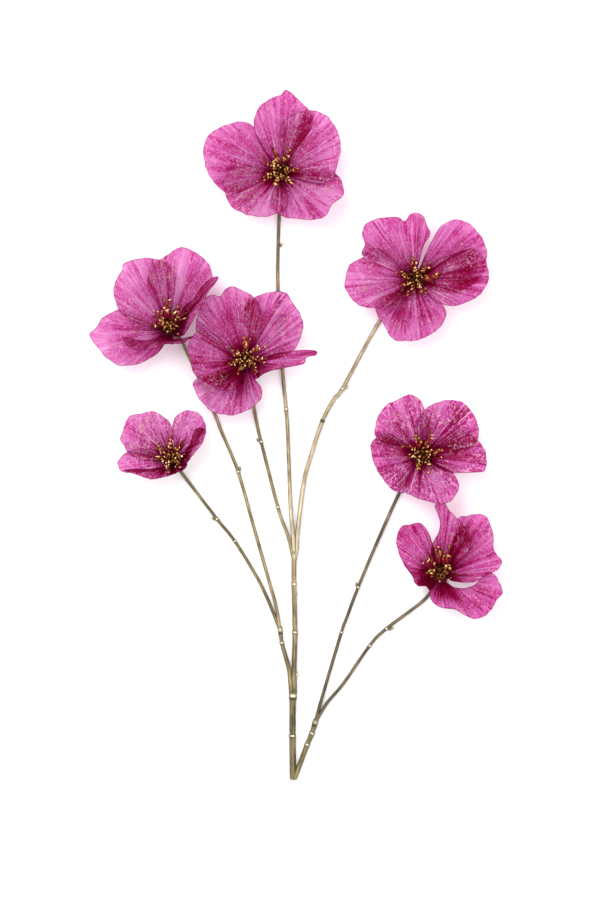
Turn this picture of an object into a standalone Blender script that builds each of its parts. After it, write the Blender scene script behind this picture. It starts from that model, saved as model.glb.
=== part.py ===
"""An artificial flower spray lying face up on a table.

Seven blooms of thin layered petals stand on a branching twig stem. Lengths are in millimetres and become metres
where a mesh is made. +Y runs from the cut end towards the top bloom and +Z is up from the table. A bloom's own
points are measured from its place on the table.
"""

import math
import random

import bmesh
import bpy
from mathutils import Vector
from mathutils.bvhtree import BVHTree
from mathutils.geometry import delaunay_2d_cdt

MM = 0.001

# Petals. A petal's claw is sunk in the hub, and its layer sets how high its root leaves the hub. It stays flat as
# far as FLAT_ROOT from the hub's middle, and its rim begins at RIM_START.
BLADE = 0.75
CLAW = 4.2
FLAT_ROOT = 6.0
FLAT_ROOT_RISE = 0.5
RIM_START = 6.8
RIM_START_RISE = 1.6
LOWEST_ROOT = 15.4
LAYER_RISE = 1.0
CUP = 1.3
MESH_STEP = 14.0
MESH_MARGIN = 4.5
LAID_APART = 1.3

# The turned pieces under and inside each bloom, as (radius, height above the table)
GAP = 0.3
CALYX = [(0, 9.0), (2.1, 9.0), (2.6, 10.2), (4.8, 12.6), (5.9, 14.2), (0, 14.2)]
HUB = [(0, 14.5), (5.8, 14.5), (6.4, 17.0), (5.4, 20.3), (0, 20.3)]
DISC = [(0, 20.6), (5.2, 20.6), (4.8, 22.0), (0, 22.0)]
TURNED_SIDES = 8

# Stamens. A filament that would have to climb more than MOST_CLIMB stops WALL_CLEAR short of the standing petal.
FILAMENTS = 11
FILAMENT_RADIUS = 0.42
STRAY_RADIUS = 0.55
TIP_RADIUS = 1.15
ROOT_RING = 4.5
STRAY_RING = 3.3
SUNK = 0.7
FILAMENT_LENGTHS = (11.0, 19.0)
SHORTEST_FILAMENT = 6.0
SPREAD_DEG = (45, 70)
THREAD_CLEAR = 1.1
THREAD_STEPS = 24
MOST_CLIMB = 3.0
WALL_CLEAR = 2.6

# Bead head in the middle of a bloom
HEAD_RADIUS = 4.6
HEAD_BEADS = 11
BEAD_RADIUS = 1.5
HEAD_LIFT = 3.4
HEAD_UPRIGHT = 60

# Stems
TWIG = 1.3
BRANCH = 2.0
MAIN = 2.4
COLLAR = 3.5
NODE_SWELL = 1.35
STEM_STEP = 15.0
NECK = 9.0
NECK_TOP = CALYX[0][1] - GAP

PETAL_COLOUR = (0.62, 0.05, 0.33)
STAMEN_COLOUR = (0.35, 0.01, 0.03)
GOLD_COLOUR = (0.48, 0.29, 0.08)
STEM_COLOUR = (0.40, 0.31, 0.18)

# Each bloom: its place, where its hub stands from there, how its stamens lean, stray bare filament ends, and
# its petals. A petal is (layer, rim points): layer 0 lies lowest, and the rim runs from one side of the root round
# to the other.
BLOOMS = {
    "top": {
        "place": (-12.5, 209.0),
        "hub": (0, 0),
        "lean": (0, 2),
        "strays": [],
        "petals": [
            (0, [(-8, 10, 18), (-16, 26, 26), (-22, 37, 31), (-33, 40, 34), (-44, 37, 35), (-57, 29, 33),
                 (-61, 17, 32), (-58, 0, 33), (-50, -11, 32), (-40, -17, 27), (-24, -12, 22), (-9, -4, 17)]),
            (4, [(-8, 2, 22), (-22, 5, 29), (-36, 3, 38), (-43, -3, 41), (-45, -13, 38), (-41, -24, 35),
                 (-34, -31, 33), (-22, -35, 34), (-13, -36, 33), (-3, -33, 33), (5, -29, 33), (6, -19, 28),
                 (2, -8, 21)]),
            (1, [(0, -8, 18), (-6, -20, 23), (-6, -29, 25), (1, -35, 28), (12, -37, 31), (26, -38, 34),
                 (36, -35, 36), (41, -26, 37), (50, -19, 38), (50, -13, 38), (47, -4, 35), (38, 2, 30),
                 (22, 3, 22), (8, 2, 17.5)]),
            (3, [(8, -3, 22), (22, -8, 28), (34, -9, 33), (42, -5, 37), (45, 4, 39), (48, 17, 40), (46, 30, 40),
                 (41, 40, 39), (36, 45, 37), (24, 49, 36), (12, 46, 37), (3, 40, 37), (0, 30, 33), (1, 18, 28),
                 (4, 8, 22)]),
            (2, [(9, 9, 19), (20, 26, 25), (26, 40, 29), (22, 50, 32), (11, 61, 33), (4, 65, 36), (0, 61, 33),
                 (-9, 58, 35), (-15, 53, 37), (-19, 47, 38), (-21, 36, 37), (-16, 22, 30), (-7, 8, 21)]),
        ],
    },
    "upper_right": {
        "place": (95.5, 123.0),
        "hub": (-1, 1),
        "lean": (2, 2),
        "strays": [(-12, 22, 34), (8, 20, 33)],
        "petals": [
            (2, [(-7, 4, 18.5), (-22, 12, 25), (-34, 17, 30), (-43, 20, 35), (-41, 28, 37), (-43, 38, 38),
                 (-38, 46, 37), (-25, 50, 35), (-14, 50, 33), (-9, 47, 29), (-6, 51, 36), (-1, 54, 39),
                 (6, 50, 40), (9, 42, 39), (11, 36, 36), (6, 27, 30), (2, 12, 20)]),
            (1, [(3, 9, 18), (7, 20, 25), (13, 32, 31), (20, 43, 36), (32, 48, 38), (43, 44, 38), (52, 34, 36),
                 (56, 23, 34), (56, 14, 32), (53, 5, 29), (44, -4, 26), (33, -10, 23), (20, -9, 20),
                 (7, -3, 17)]),
            (4, [(5, 8, 21), (14, 15, 28), (27, 20, 34), (38, 24, 38), (47, 24, 40), (53, 17, 39), (57, 9, 38),
                 (57, -1, 36), (52, -10, 35), (44, -16, 34), (32, -20, 33), (20, -19, 30), (10, -12, 24),
                 (4, -6, 20)]),
            (0, [(3, -6, 17), (12, -13, 21), (21, -19, 25), (24, -27, 29), (20, -36, 31), (10, -44, 33),
                 (-2, -48, 34), (-14, -48, 34), (-21, -44, 33), (-27, -33, 31), (-33, -22, 27), (-29, -14, 23),
                 (-16, -9, 19), (-6, -3, 17)]),
            (3, [(-5, -4, 20), (-14, -18, 27), (-25, -21, 31), (-38, -22, 34), (-47, -19, 35), (-56, -8, 36),
                 (-56, 3, 37), (-53, 12, 38), (-43, 18, 39), (-37, 22, 41), (-30, 25, 42), (-22, 21, 37),
                 (-14, 12, 31), (-5, 5, 23)]),
        ],
    },
    "upper_left": {
        "place": (-102.0, 98.0),
        "hub": (1, -14.5),
        "lean": (0, 16),
        "strays": [(-20, -15, 30), (-11, -19, 31)],
        "petals": [
            (0, [(-2, -23, 17), (-6, -31, 22), (-16, -38, 27), (-26, -42, 30), (-38, -43, 32), (-48, -37, 33),
                 (-56, -28, 33), (-62, -19, 34), (-57, -13, 32), (-52, -5, 31), (-45, -1, 30), (-36, 2, 27),
                 (-22, -4, 20), (-6, -13, 16)]),
            (1, [(-6, -15, 20), (-16, -12, 26), (-28, -7, 31), (-38, 0, 33), (-42, 10, 32), (-43, 20, 31),
                 (-39, 29, 31), (-36, 34, 33), (-35, 38, 31), (-24, 42, 30), (-9, 42, 28), (2, 37, 25),
                 (8, 24, 22), (7, 4, 19), (4, -10, 17)]),
            (2, [(-3, -10, 21), (-9, 6, 28), (-15, 17, 33), (-16, 26, 36), (-12, 36, 36), (0, 45, 35),
                 (10, 51, 34), (21, 48, 34), (31, 40, 34), (36, 28, 32), (33, 18, 29), (24, 6, 24),
                 (10, -10, 19)]),
            (3, [(6, -15, 21), (12, 3, 27), (20, 10, 31), (27, 20, 35), (34, 26, 38), (40, 27, 42),
                 (38, 22, 46), (33, 16, 50), (29, 8, 52), (23, -3, 52), (17, -13, 48), (12, -19, 38),
                 (6, -20, 24)]),
            (4, [(4, -21, 21), (13, -21, 27), (21, -19, 30), (16, -23, 37), (9, -25.5, 42), (-1, -26, 44),
                 (-9, -29, 44), (-19, -31, 43), (-29, -29.5, 41), (-36, -20, 37), (-22, -23, 29),
                 (-7, -21, 21)]),
        ],
    },
    "middle": {
        "place": (-40.5, 63.5),
        "hub": (0, -5),
        "lean": (0, 5),
        "strays": [],
        "petals": [
            (0, [(5, -2, 16.5), (3, 12, 18), (-1, 27, 22), (0, 39, 27), (8, 46, 32), (20, 50, 36), (31, 50, 38),
                 (37, 43, 38), (43, 34, 38), (46, 25, 37), (44, 14, 35), (39, 4, 31), (28, -2, 25),
                 (12, -6, 18)]),
            (2, [(-6, -1, 18.5), (-17, 7, 24), (-30, 14, 29), (-39, 21, 33), (-37, 33, 37), (-31, 45, 38),
                 (-25, 48, 37), (-20, 47, 35), (-15, 52, 38), (-8, 54, 38), (4, 48, 37), (11, 41, 35),
                 (13, 30, 32), (9, 14, 28), (3, 2, 22)]),
            (4, [(-2, -10, 21), (0, -16, 25), (2, -22, 30), (-6, -27, 34), (-18, -28, 38), (-27, -24, 40),
                 (-34, -20, 39), (-40, -16, 40), (-43, -6, 41), (-45, 4, 41), (-43, 13, 40), (-36, 19, 39),
                 (-28, 19, 37), (-21, 13, 34), (-13, 3, 29), (-5, -3, 23)]),
            (1, [(5, -10, 17), (8, -19, 21), (13, -26, 25), (13, -34, 28), (7, -41, 30), (-3, -46, 32),
                 (-13, -48, 33), (-24, -46, 33), (-34, -38, 32), (-40, -28, 30), (-40, -20, 28), (-26, -16, 22),
                 (-6, -10, 17)]),
            (3, [(6, -6, 21), (16, -1, 27), (28, 2, 33), (40, 3.5, 38), (50, 4, 42), (57, 3, 44), (56, -0.5, 45),
                 (49, -2, 46), (47, -7, 46), (36, -9.5, 44), (26, -11.5, 41), (17, -14, 36), (8, -19, 29),
                 (4, -12, 22)]),
        ],
    },
    "left": {
        "place": (-99.5, -17.0),
        "hub": (0, -2.5),
        "lean": (0, 11),
        "strays": [(-16, 12, 30), (-8, 19, 31), (8, 16, 32), (13, 16, 34), (-17, -3, 31)],
        "petals": [
            (0, [(-1, 1, 17), (0, 10, 19), (2, 16, 22), (0, 25, 26), (-5, 31, 29), (-14, 36, 31), (-25, 34, 31),
                 (-33, 31, 30), (-38, 22, 30), (-40, 14, 30), (-36, 6, 28), (-31, 0, 25), (-18, -4, 20),
                 (-6, -5, 16)]),
            (1, [(2, 2, 19), (2, 10, 22), (1, 20, 26), (3, 30, 30), (10, 36, 32), (19, 36, 33), (25, 31, 34),
                 (28, 23, 34), (25, 13, 29), (17, 4, 23), (6, -3, 18)]),
            (3, [(6, -3, 21), (11, 4, 25), (15, 10, 28), (17, 17, 30), (20, 22, 32), (25, 23, 36), (28, 20, 40),
                 (26, 12, 44), (22, 6, 45), (17, 0, 44), (12, -7, 39), (6, -6, 27)]),
            (2, [(-6, -4, 19), (-11, 3, 24), (-18, 6, 28), (-26, 6, 31), (-35, 3, 33), (-40, -1, 34),
                 (-42, -5, 35), (-38, -10, 33), (-26, -10, 28), (-14, -9, 22), (-5, -8, 18)]),
            (4, [(4, -10, 20), (11, -10, 27), (7, -12, 33), (1, -15, 36), (-7, -17, 38), (-15, -18, 39),
                 (-22, -16, 39), (-29, -14, 38), (-37, -11, 37), (-28, -10, 33), (-16, -10, 27),
                 (-5, -8, 21)]),
        ],
    },
    "right": {
        "place": (100.5, -16.0),
        "hub": (0, -1),
        "lean": (1, 4),
        "strays": [],
        "petals": [
            (0, [(-5, 4, 17), (-18, 7, 22), (-30, 10, 26), (-37, 15, 31), (-37, 25, 33), (-34, 33, 34),
                 (-28, 40, 35), (-18, 45, 35), (-9, 48, 35), (-2, 44, 33), (2, 36, 30), (6, 28, 24.5),
                 (5, 13, 18), (1, 6, 17)]),
            (2, [(-2, 6, 19), (-4, 18, 24), (-3, 28, 29), (2, 36, 34), (9, 41, 36), (24, 44, 38), (34, 40, 38),
                 (41, 31, 38), (45, 19, 36), (43, 10, 33), (36, 4, 29), (22, 1, 23), (7, 1, 18)]),
            (4, [(5, -5, 21), (14, -11, 27), (24, -14, 31), (36, -14, 35), (48, -13, 39), (51, -8, 40),
                 (50, 1, 41), (47, 8, 42), (42, 13, 43), (34, 18, 42), (26, 20, 39), (18, 15, 33), (10, 7, 27),
                 (4, 2, 22)]),
            (3, [(-3, -6, 20), (-10, -14, 25), (-15, -23, 29), (-14, -29, 32), (-4, -34, 34), (8, -38, 37),
                 (16, -39, 37), (24, -35, 37), (29, -26, 36), (27, -18, 32), (22, -12, 26), (10, -7, 21),
                 (4, -5, 19)]),
            (1, [(-5, -4, 18), (-9, -12, 21), (-12, -22, 24), (-17, -30, 28), (-24, -27, 31), (-32, -18, 33),
                 (-38, -8, 35), (-41, 4, 37), (-40, 10, 38), (-34, 16, 38), (-25, 17, 35), (-14, 10, 27),
                 (-5, 2, 19)]),
        ],
    },
    "lower_right": {
        "place": (115.5, -106.0),
        "hub": (0, -6),
        "lean": (0, 7),
        "strays": [(6, 16, 33), (-12, 5, 30), (21, -5, 33), (14, -11, 30)],
        "petals": [
            (2, [(-4, -10, 18), (-12, -13, 23), (-19, -14, 27), (-24, -5, 31), (-29, 2, 33), (-34, 12, 35),
                 (-36, 24, 37), (-33, 32, 37), (-27, 35, 36), (-17, 36, 34), (-11, 30, 32), (-8, 20, 27),
                 (-7, 6, 21), (-4, -1, 18)]),
            (3, [(-3, 0, 21), (-8, 12, 28), (-7, 19, 32), (-2, 29, 34), (-1, 38, 31), (-5, 50, 26), (2, 52, 26),
                 (8, 46, 30), (14, 39, 36), (20, 31, 39), (24, 24, 38), (22, 14, 33), (11, 1, 25),
                 (3, -1, 21)]),
            (1, [(4, -2, 18), (7, 12, 21), (10, 26, 25), (13, 39, 29), (22, 42, 33), (33, 43, 36), (38, 37, 36),
                 (41, 26, 36), (42, 15, 35), (44, 11, 34), (48, 6, 37), (45, -1, 37), (37, -5, 36),
                 (29, -9, 33), (20, -11, 29), (9, -10, 22), (4, -7, 19)]),
            (0, [(3, -10, 16.5), (10, -14, 19), (18, -15, 22), (27, -12, 26), (36, -7, 30), (42, -6, 33),
                 (46, -12, 34), (49, -19, 34), (44, -25, 34), (41, -32, 34), (36, -37, 35), (28, -40, 36),
                 (20, -38, 35), (12, -33, 33), (4, -32, 31), (-4, -29, 28), (-6, -22, 24), (-4, -12, 18)]),
        ],
    },
}

# Stem centre lines from the cut end outwards, as (x, y, height). A flower stem's neck is added at its end.
# Each stem has its radii at both ends, the places of its swollen nodes, and its buds as (x, y, side).
FOOT = [(-2.4, -275.5, 2.6), (-2.8, -240, 2.8), (-2.6, -214, 2.9), (-2.6, -207, 3.0)]
RIGHT_BRANCH = [(-1.0, -274.5, 2.6), (4.0, -261, 2.6), (9.2, -247, 3.0), (12.9, -238, 3.3), (16.2, -227, 3.4)]
LEFT_BRANCH = [(-5.0, -206.7, 3.1), (-6.0, -190, 3.9), (-7.2, -181, 4.4), (-11.3, -166, 4.9), (-12.9, -153, 5.0)]
CENTRE_BRANCH = [(-0.6, -206.7, 3.1), (-1.4, -184, 4.2), (-0.8, -158, 5.2), (-1.6, -119, 5.4), (-1.6, -94, 5.0)]
BRANCH_NODES = [(-0.8, -158), (-1.6, -119)]
FLOWER_STEMS = {
    "top": {
        "line": [(-1.6, -93.3, 6.6), (-2.6, -78, 5.6), (-4.4, -56, 5.0), (-6.7, 4, 4.2), (-8.0, 21, 3.8),
                 (-10.8, 53, 3.0), (-14.4, 116, 2.6), (-14.3, 151, 2.0), (-13.4, 176, 1.5)],
        "nodes": [(-8.0, 21)],
        "buds": [(-14.3, 151, 1)],
    },
    "upper_right": {
        "line": [(0.0, -93.3, 4.0), (1.6, -74, 4.6), (6.4, -37, 5.0), (11.2, -19, 5.0), (21.0, 11, 4.6),
                 (31.2, 30, 4.0), (37.0, 37, 3.6), (68, 93, 1.7)],
        "nodes": [(21.0, 11), (37.0, 37)],
        "buds": [(37.0, 37, 1)],
    },
    "upper_left": {
        "line": [(-11.7, -152.3, 5.2), (-16.4, -135, 5.2), (-22, -115, 5.2), (-33.6, -74, 5.0), (-46.4, -29, 4.2),
                 (-60, 4, 3.4), (-65.6, 18, 3.0), (-90.4, 73, 1.6)],
        "nodes": [(-46.4, -29)],
        "buds": [(-46.4, -29, 1)],
    },
    "middle": {
        "line": [(-3.2, -93.3, 4.0), (-7.0, -79, 4.6), (-14.4, -58, 5.0), (-28, -5, 4.0), (-30.6, 6, 3.2),
                 (-33.6, 22, 2.0)],
        "nodes": [(-14.4, -58), (-28, -5)],
        "buds": [(-28, -5, -1)],
    },
    "left": {
        "line": [(-14.5, -152.3, 4.8), (-20.6, -136, 5.0), (-30.4, -115, 5.0), (-48.8, -85, 4.4), (-63.2, -67, 3.6),
                 (-92.4, -29, 1.6)],
        "nodes": [(-48.8, -85), (-63.2, -67)],
        "buds": [(-63.2, -67, -1)],
    },
    "right": {
        "line": [(16.1, -226.2, 3.4), (20.8, -210, 3.8), (36.2, -158, 4.4), (40.2, -147, 4.4), (49.6, -122, 3.8),
                 (66.4, -82, 2.8), (82.4, -47, 1.6)],
        "nodes": [(36.2, -158), (49.6, -122)],
        "buds": [(49.6, -122, 1)],
    },
    "lower_right": {
        "line": [(19.0, -226.0, 3.4), (26.0, -214, 3.6), (38.4, -198, 3.8), (59.2, -168, 3.6), (72, -155, 3.2),
                 (102.4, -132, 1.6)],
        "nodes": [(59.2, -168), (72, -155)],
        "buds": [(72, -155, 1)],
    },
}
BUD_LENGTH = 6.5
BUD_RADIUS = 1.5


def smooth_path(points, per_span=8):
    """Points along a smooth curve that passes through every given point."""
    given = [Vector(p) for p in points]
    ends = [2 * given[0] - given[1], *given, 2 * given[-1] - given[-2]]
    path = []
    for a, b, c, d in zip(ends, ends[1:], ends[2:], ends[3:]):
        for i in range(per_span):
            t = i / per_span
            bend = 2 * a - 5 * b + 4 * c - d
            path.append((2 * b + (c - a) * t + bend * t**2 + (3 * b - a - 3 * c + d) * t**3) / 2)
    return [*path, given[-1]]


def lengths_along(path):
    """The length from the path's start to each of its points."""
    lengths = [0.0]
    for a, b in zip(path, path[1:]):
        lengths.append(lengths[-1] + (b - a).length)
    return lengths


def point_at(path, lengths, wanted):
    """The point at one length along a path."""
    for i in range(1, len(path)):
        if lengths[i] >= wanted:
            share = (wanted - lengths[i - 1]) / max(lengths[i] - lengths[i - 1], 1e-9)
            return path[i - 1].lerp(path[i], share)
    return path[-1].copy()


def material(name, colour, roughness, metallic=0.0):
    made = bpy.data.materials.new(name)
    made.use_nodes = True
    shader = made.node_tree.nodes["Principled BSDF"]
    shader.inputs["Base Color"].default_value = (*colour, 1)
    shader.inputs["Roughness"].default_value = roughness
    shader.inputs["Metallic"].default_value = metallic
    return made


def object_from(bm, name):
    """An object in metres from a bmesh in millimetres."""
    bmesh.ops.scale(bm, vec=(MM, MM, MM), verts=bm.verts)
    mesh = bpy.data.meshes.new(name)
    bm.to_mesh(mesh)
    bm.free()
    made = bpy.data.objects.new(name, mesh)
    bpy.context.scene.collection.objects.link(made)
    return made


def settled(made):
    """Replaces an object's mesh by what its modifiers make of it."""
    graph = bpy.context.evaluated_depsgraph_get()
    mesh = bpy.data.meshes.new_from_object(made.evaluated_get(graph))
    made.modifiers.clear()
    made.data = mesh


def keep_largest(mesh):
    """Welds a fused mesh, and drops its loose scraps and the walls of any hollow that the fusing sealed."""
    bm = bmesh.new()
    bm.from_mesh(mesh)
    bmesh.ops.remove_doubles(bm, verts=bm.verts, dist=1e-6)
    loose = set(bm.verts)
    shells = []
    while loose:
        shell = [loose.pop()]
        for vert in shell:
            near = {edge.other_vert(vert) for edge in vert.link_edges} & loose
            loose -= near
            shell.extend(near)
        shells.append(shell)
    shells.sort(key=len)
    for shell in shells[:-1]:
        bmesh.ops.delete(bm, geom=shell, context="VERTS")
    bm.to_mesh(mesh)
    bm.free()


def fuse(base, pieces, name, finish):
    """One solid from a base and the pieces rooted in it, which are removed."""
    group = bpy.data.collections.new(name + "_pieces")
    bpy.context.scene.collection.children.link(group)
    for piece in pieces:
        bpy.context.scene.collection.objects.unlink(piece)
        group.objects.link(piece)
    union = base.modifiers.new("Union", "BOOLEAN")
    union.operation = "UNION"
    union.operand_type = "COLLECTION"
    union.collection = group
    union.solver = "EXACT"
    settled(base)
    keep_largest(base.data)
    for piece in pieces:
        bpy.data.objects.remove(piece)
    bpy.data.collections.remove(group)
    finished(base, name, finish)
    return base


def finished(made, name, finish):
    """Names an object and gives it its one material and smooth shading."""
    made.name = name
    made.data.materials.clear()
    made.data.materials.append(finish)
    made.data.shade_smooth()
    made.data.set_sharp_from_angle(angle=math.radians(50))


def turned(profile, centre, name):
    """A solid of revolution from (radius, height) pairs, standing at a centre."""
    bm = bmesh.new()
    line = [bm.verts.new((radius, 0, height)) for radius, height in profile]
    edges = [bm.edges.new(pair) for pair in zip(line, line[1:])]
    bmesh.ops.spin(bm, geom=line + edges, cent=(0, 0, 0), axis=(0, 0, 1), angle=math.tau, steps=TURNED_SIDES,
                   use_merge=True)
    bmesh.ops.remove_doubles(bm, verts=bm.verts, dist=0.001)
    bmesh.ops.recalc_face_normals(bm, faces=bm.faces)
    bmesh.ops.translate(bm, vec=centre, verts=bm.verts)
    return object_from(bm, name)


def hub_of(bloom, height=0.0):
    """The point on a bloom's upright middle line at one height."""
    return Vector((bloom["place"][0] + bloom["hub"][0], bloom["place"][1] + bloom["hub"][1], height))


def inside(spot, outline):
    """Whether a point lies inside an outline, both seen from above."""
    crossings = 0
    for a, b in zip(outline, [*outline[1:], outline[0]]):
        if (a.y > spot.y) != (b.y > spot.y):
            crossings += spot.x < a.x + (spot.y - a.y) * (b.x - a.x) / (b.y - a.y)
    return crossings % 2 == 1


def petal_sheet(bloom, layer, rim):
    """A petal's middle surface as (points, triangles): it rises in a curve from its narrow claw to its rim."""
    root = Vector((*bloom["hub"], LOWEST_ROOT + layer * LAYER_RISE))
    edge = smooth_path(rim, 2)
    sides = []
    for end in (edge[-1], edge[0]):
        out = (end.xy - root.xy).normalized()
        sides.append(Vector((*(root.xy + out * CLAW), root.z)))
        end.z = min(end.z, root.z + RIM_START_RISE)
        if (end.xy - root.xy).length < RIM_START:
            end.xy = root.xy + out * RIM_START
    outline = [*edge, *sides]
    low = [min(p[axis] for p in outline) for axis in (0, 1)]
    high = [max(p[axis] for p in outline) for axis in (0, 1)]
    spots = [p.copy() for p in outline]
    for share in (1 / 3, 2 / 3):
        out = (sides[1].xy.lerp(sides[0].xy, share) - root.xy).normalized()
        spots.append(Vector((*(root.xy + out * RIM_START), root.z + FLAT_ROOT_RISE)))
    row_height = MESH_STEP * math.sin(math.pi / 3)
    for row in range(math.ceil((high[1] - low[1]) / row_height)):
        for column in range(math.ceil((high[0] - low[0]) / MESH_STEP) + 1):
            x = low[0] + (column + 0.5 * (row % 2)) * MESH_STEP
            y = low[1] + (row + 0.5) * row_height
            spot = Vector((x, y, 0))
            nearest = min((p.xy - spot.xy).length for p in outline)
            if inside(spot, outline) and nearest > MESH_MARGIN:
                spot.z = sheet_height(spot, root, edge)
                spots.append(spot)
    ring = list(range(len(outline)))
    flat = delaunay_2d_cdt([p.xy for p in spots], [], [ring], 1, 1e-5)
    place = Vector((*bloom["place"], 0))
    points = [place + spots[origins[0]] for origins in flat[3]]
    return points, flat[2]


def sheet_height(spot, root, edge):
    """How high a petal stands at a point, from the heights of its root and of the nearby rim."""
    gaps = [max((p.xy - spot.xy).length, 1e-3) for p in edge]
    near = [gap**-4 for gap in gaps]
    rim_height = sum(weight * p.z for weight, p in zip(near, edge)) / sum(near)
    out = max((spot.xy - root.xy).length - FLAT_ROOT, 0)
    reach = out / (out + min(gaps))
    return root.z + (rim_height - root.z) * reach**CUP


def laid_over(points, lower, apart):
    """The points lifted clear of the petals that lie below them."""
    lifted = []
    for spot in points:
        high = spot.copy()
        for sheet in lower:
            hit = sheet.ray_cast(Vector((spot.x, spot.y, 100)), Vector((0, 0, -1)))[0]
            if hit:
                high.z = max(high.z, hit.z + apart)
        lifted.append(high)
    return lifted


def petals(name, bloom, finish):
    """The petals of one bloom fused to their hub, with the middle surface of each for what stands over them."""
    sheets = []
    blades = []
    for layer, rim in sorted(bloom["petals"]):
        points, triangles = petal_sheet(bloom, layer, rim)
        for spot, high in zip(points, laid_over(points, sheets, LAID_APART)):
            if (spot.xy - hub_of(bloom).xy).length > FLAT_ROOT:
                spot.z = high.z
        sheets.append(BVHTree.FromPolygons(points, triangles))
        bm = bmesh.new()
        corners = [bm.verts.new(p) for p in points]
        for triangle in triangles:
            bm.faces.new([corners[i] for i in triangle])
        bmesh.ops.recalc_face_normals(bm, faces=bm.faces)
        blade = object_from(bm, f"petal_{layer}")
        wall = blade.modifiers.new("Thickness", "SOLIDIFY")
        wall.thickness = BLADE * MM
        wall.offset = 0
        settled(blade)
        blades.append(blade)
    fuse(turned(HUB, hub_of(bloom), "hub"), blades, "petals_" + name, finish)
    return sheets


def tube(lines, name, sides_step):
    """A mesh of round tubes. Each line is a list of (point, radius)."""
    curve = bpy.data.curves.new(name, "CURVE")
    curve.dimensions = "3D"
    curve.bevel_depth = MM
    curve.bevel_resolution = sides_step
    curve.use_fill_caps = True
    for line in lines:
        spline = curve.splines.new("POLY")
        spline.points.add(len(line) - 1)
        for spot, (place, radius) in zip(spline.points, line):
            spot.co = (*(Vector(place) * MM), 1)
            spot.radius = radius
    made = bpy.data.objects.new(name, curve)
    bpy.context.scene.collection.objects.link(made)
    graph = bpy.context.evaluated_depsgraph_get()
    mesh = bpy.data.meshes.new_from_object(made.evaluated_get(graph))
    bpy.data.objects.remove(made)
    bm = bmesh.new()
    bm.from_mesh(mesh)
    bmesh.ops.remove_doubles(bm, verts=bm.verts, dist=1e-6)
    bmesh.ops.recalc_face_normals(bm, faces=bm.faces)
    bm.to_mesh(mesh)
    bm.free()
    solid = bpy.data.objects.new(name, mesh)
    bpy.context.scene.collection.objects.link(solid)
    return solid


def least_heights(root, tip, sheets, apart):
    """How high a thread must pass at even steps from root to tip to clear the petals under it and beside it."""
    aside = (tip - root).cross(Vector((0, 0, 1))).normalized() * apart
    least = []
    for i in range(THREAD_STEPS + 1):
        spot = root.lerp(tip, i / THREAD_STEPS)
        spot.z = 0
        least.append(max(high.z for high in laid_over([spot - aside, spot, spot + aside], sheets, apart)))
    return least


def cleared(root, tip, shares, sheets, apart):
    """Points at the given shares of the way from root to tip, lifted so that a thread through them is clear."""
    least = least_heights(root, tip, sheets, apart)
    points = []
    for before, share, after in zip((0, *shares), shares, (*shares[1:], 1)):
        spot = root.lerp(tip, share)
        first = math.floor(before * THREAD_STEPS)
        spot.z = max(spot.z, *least[first : math.ceil(after * THREAD_STEPS) + 1])
        points.append(spot)
    return points


def stopped_short(root, tip, sheets):
    """The tip drawn back to where the thread would meet a standing petal."""
    least = least_heights(root, tip, sheets, THREAD_CLEAR + TIP_RADIUS)
    for i, height in enumerate(least):
        if height > root.lerp(tip, i / THREAD_STEPS).z + MOST_CLIMB:
            return root + (tip - root).normalized() * max((tip - root).length * i / THREAD_STEPS - WALL_CLEAR, 0)
    return tip


def filament(root, tip, sheets):
    """One stamen: a thin thread, clear of the petals, that ends in a bead."""
    near, middle, end = cleared(root, tip, (0.25, 0.6, 1), sheets, THREAD_CLEAR + TIP_RADIUS)
    bead = (end - middle).normalized() * TIP_RADIUS
    return [
        (root, FILAMENT_RADIUS),
        (near, FILAMENT_RADIUS),
        (middle, FILAMENT_RADIUS),
        (end - bead, FILAMENT_RADIUS),
        (end, TIP_RADIUS),
        (end + bead, FILAMENT_RADIUS),
    ]


def bare_filament(root, tip, sheets):
    """A stray thread with no bead."""
    near, middle, end = cleared(root, tip, (0.25, 0.6, 1), sheets, THREAD_CLEAR)
    return [(spot, STRAY_RADIUS) for spot in (root, near, middle, end)]


def stamens(name, bloom, sheets, finish):
    """The disc with its ring of leaning filaments."""
    draw = random.Random("stamens " + name)
    disc = turned(DISC, hub_of(bloom), "disc")
    foot = hub_of(bloom, DISC[-1][1] - SUNK)
    lean = Vector((*bloom["lean"], 0))
    lines = []
    for i in range(FILAMENTS):
        turn = math.tau * (i + draw.uniform(-0.25, 0.25)) / FILAMENTS
        spread = math.radians(draw.uniform(*SPREAD_DEG))
        length = draw.uniform(*FILAMENT_LENGTHS)
        way = Vector((math.cos(turn), math.sin(turn), 0))
        root = foot + way * ROOT_RING
        tip = root + way * length * math.sin(spread) + Vector((0, 0, length * math.cos(spread)))
        if lean.length:
            tip += lean * (1 + way.dot(lean.normalized())) / 2
        tip = stopped_short(root, tip, sheets)
        if (tip - root).length > SHORTEST_FILAMENT:
            lines.append(filament(root, tip, sheets))
    place = Vector((*bloom["place"], 0))
    for stray in bloom["strays"]:
        way = (place + Vector(stray) - foot) * Vector((1, 1, 0))
        root = foot + way.normalized() * STRAY_RING
        lines.append(bare_filament(root, place + Vector(stray), sheets))
    return fuse(disc, [tube([line], "filament", 0) for line in lines], "stamens_" + name, finish)


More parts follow.
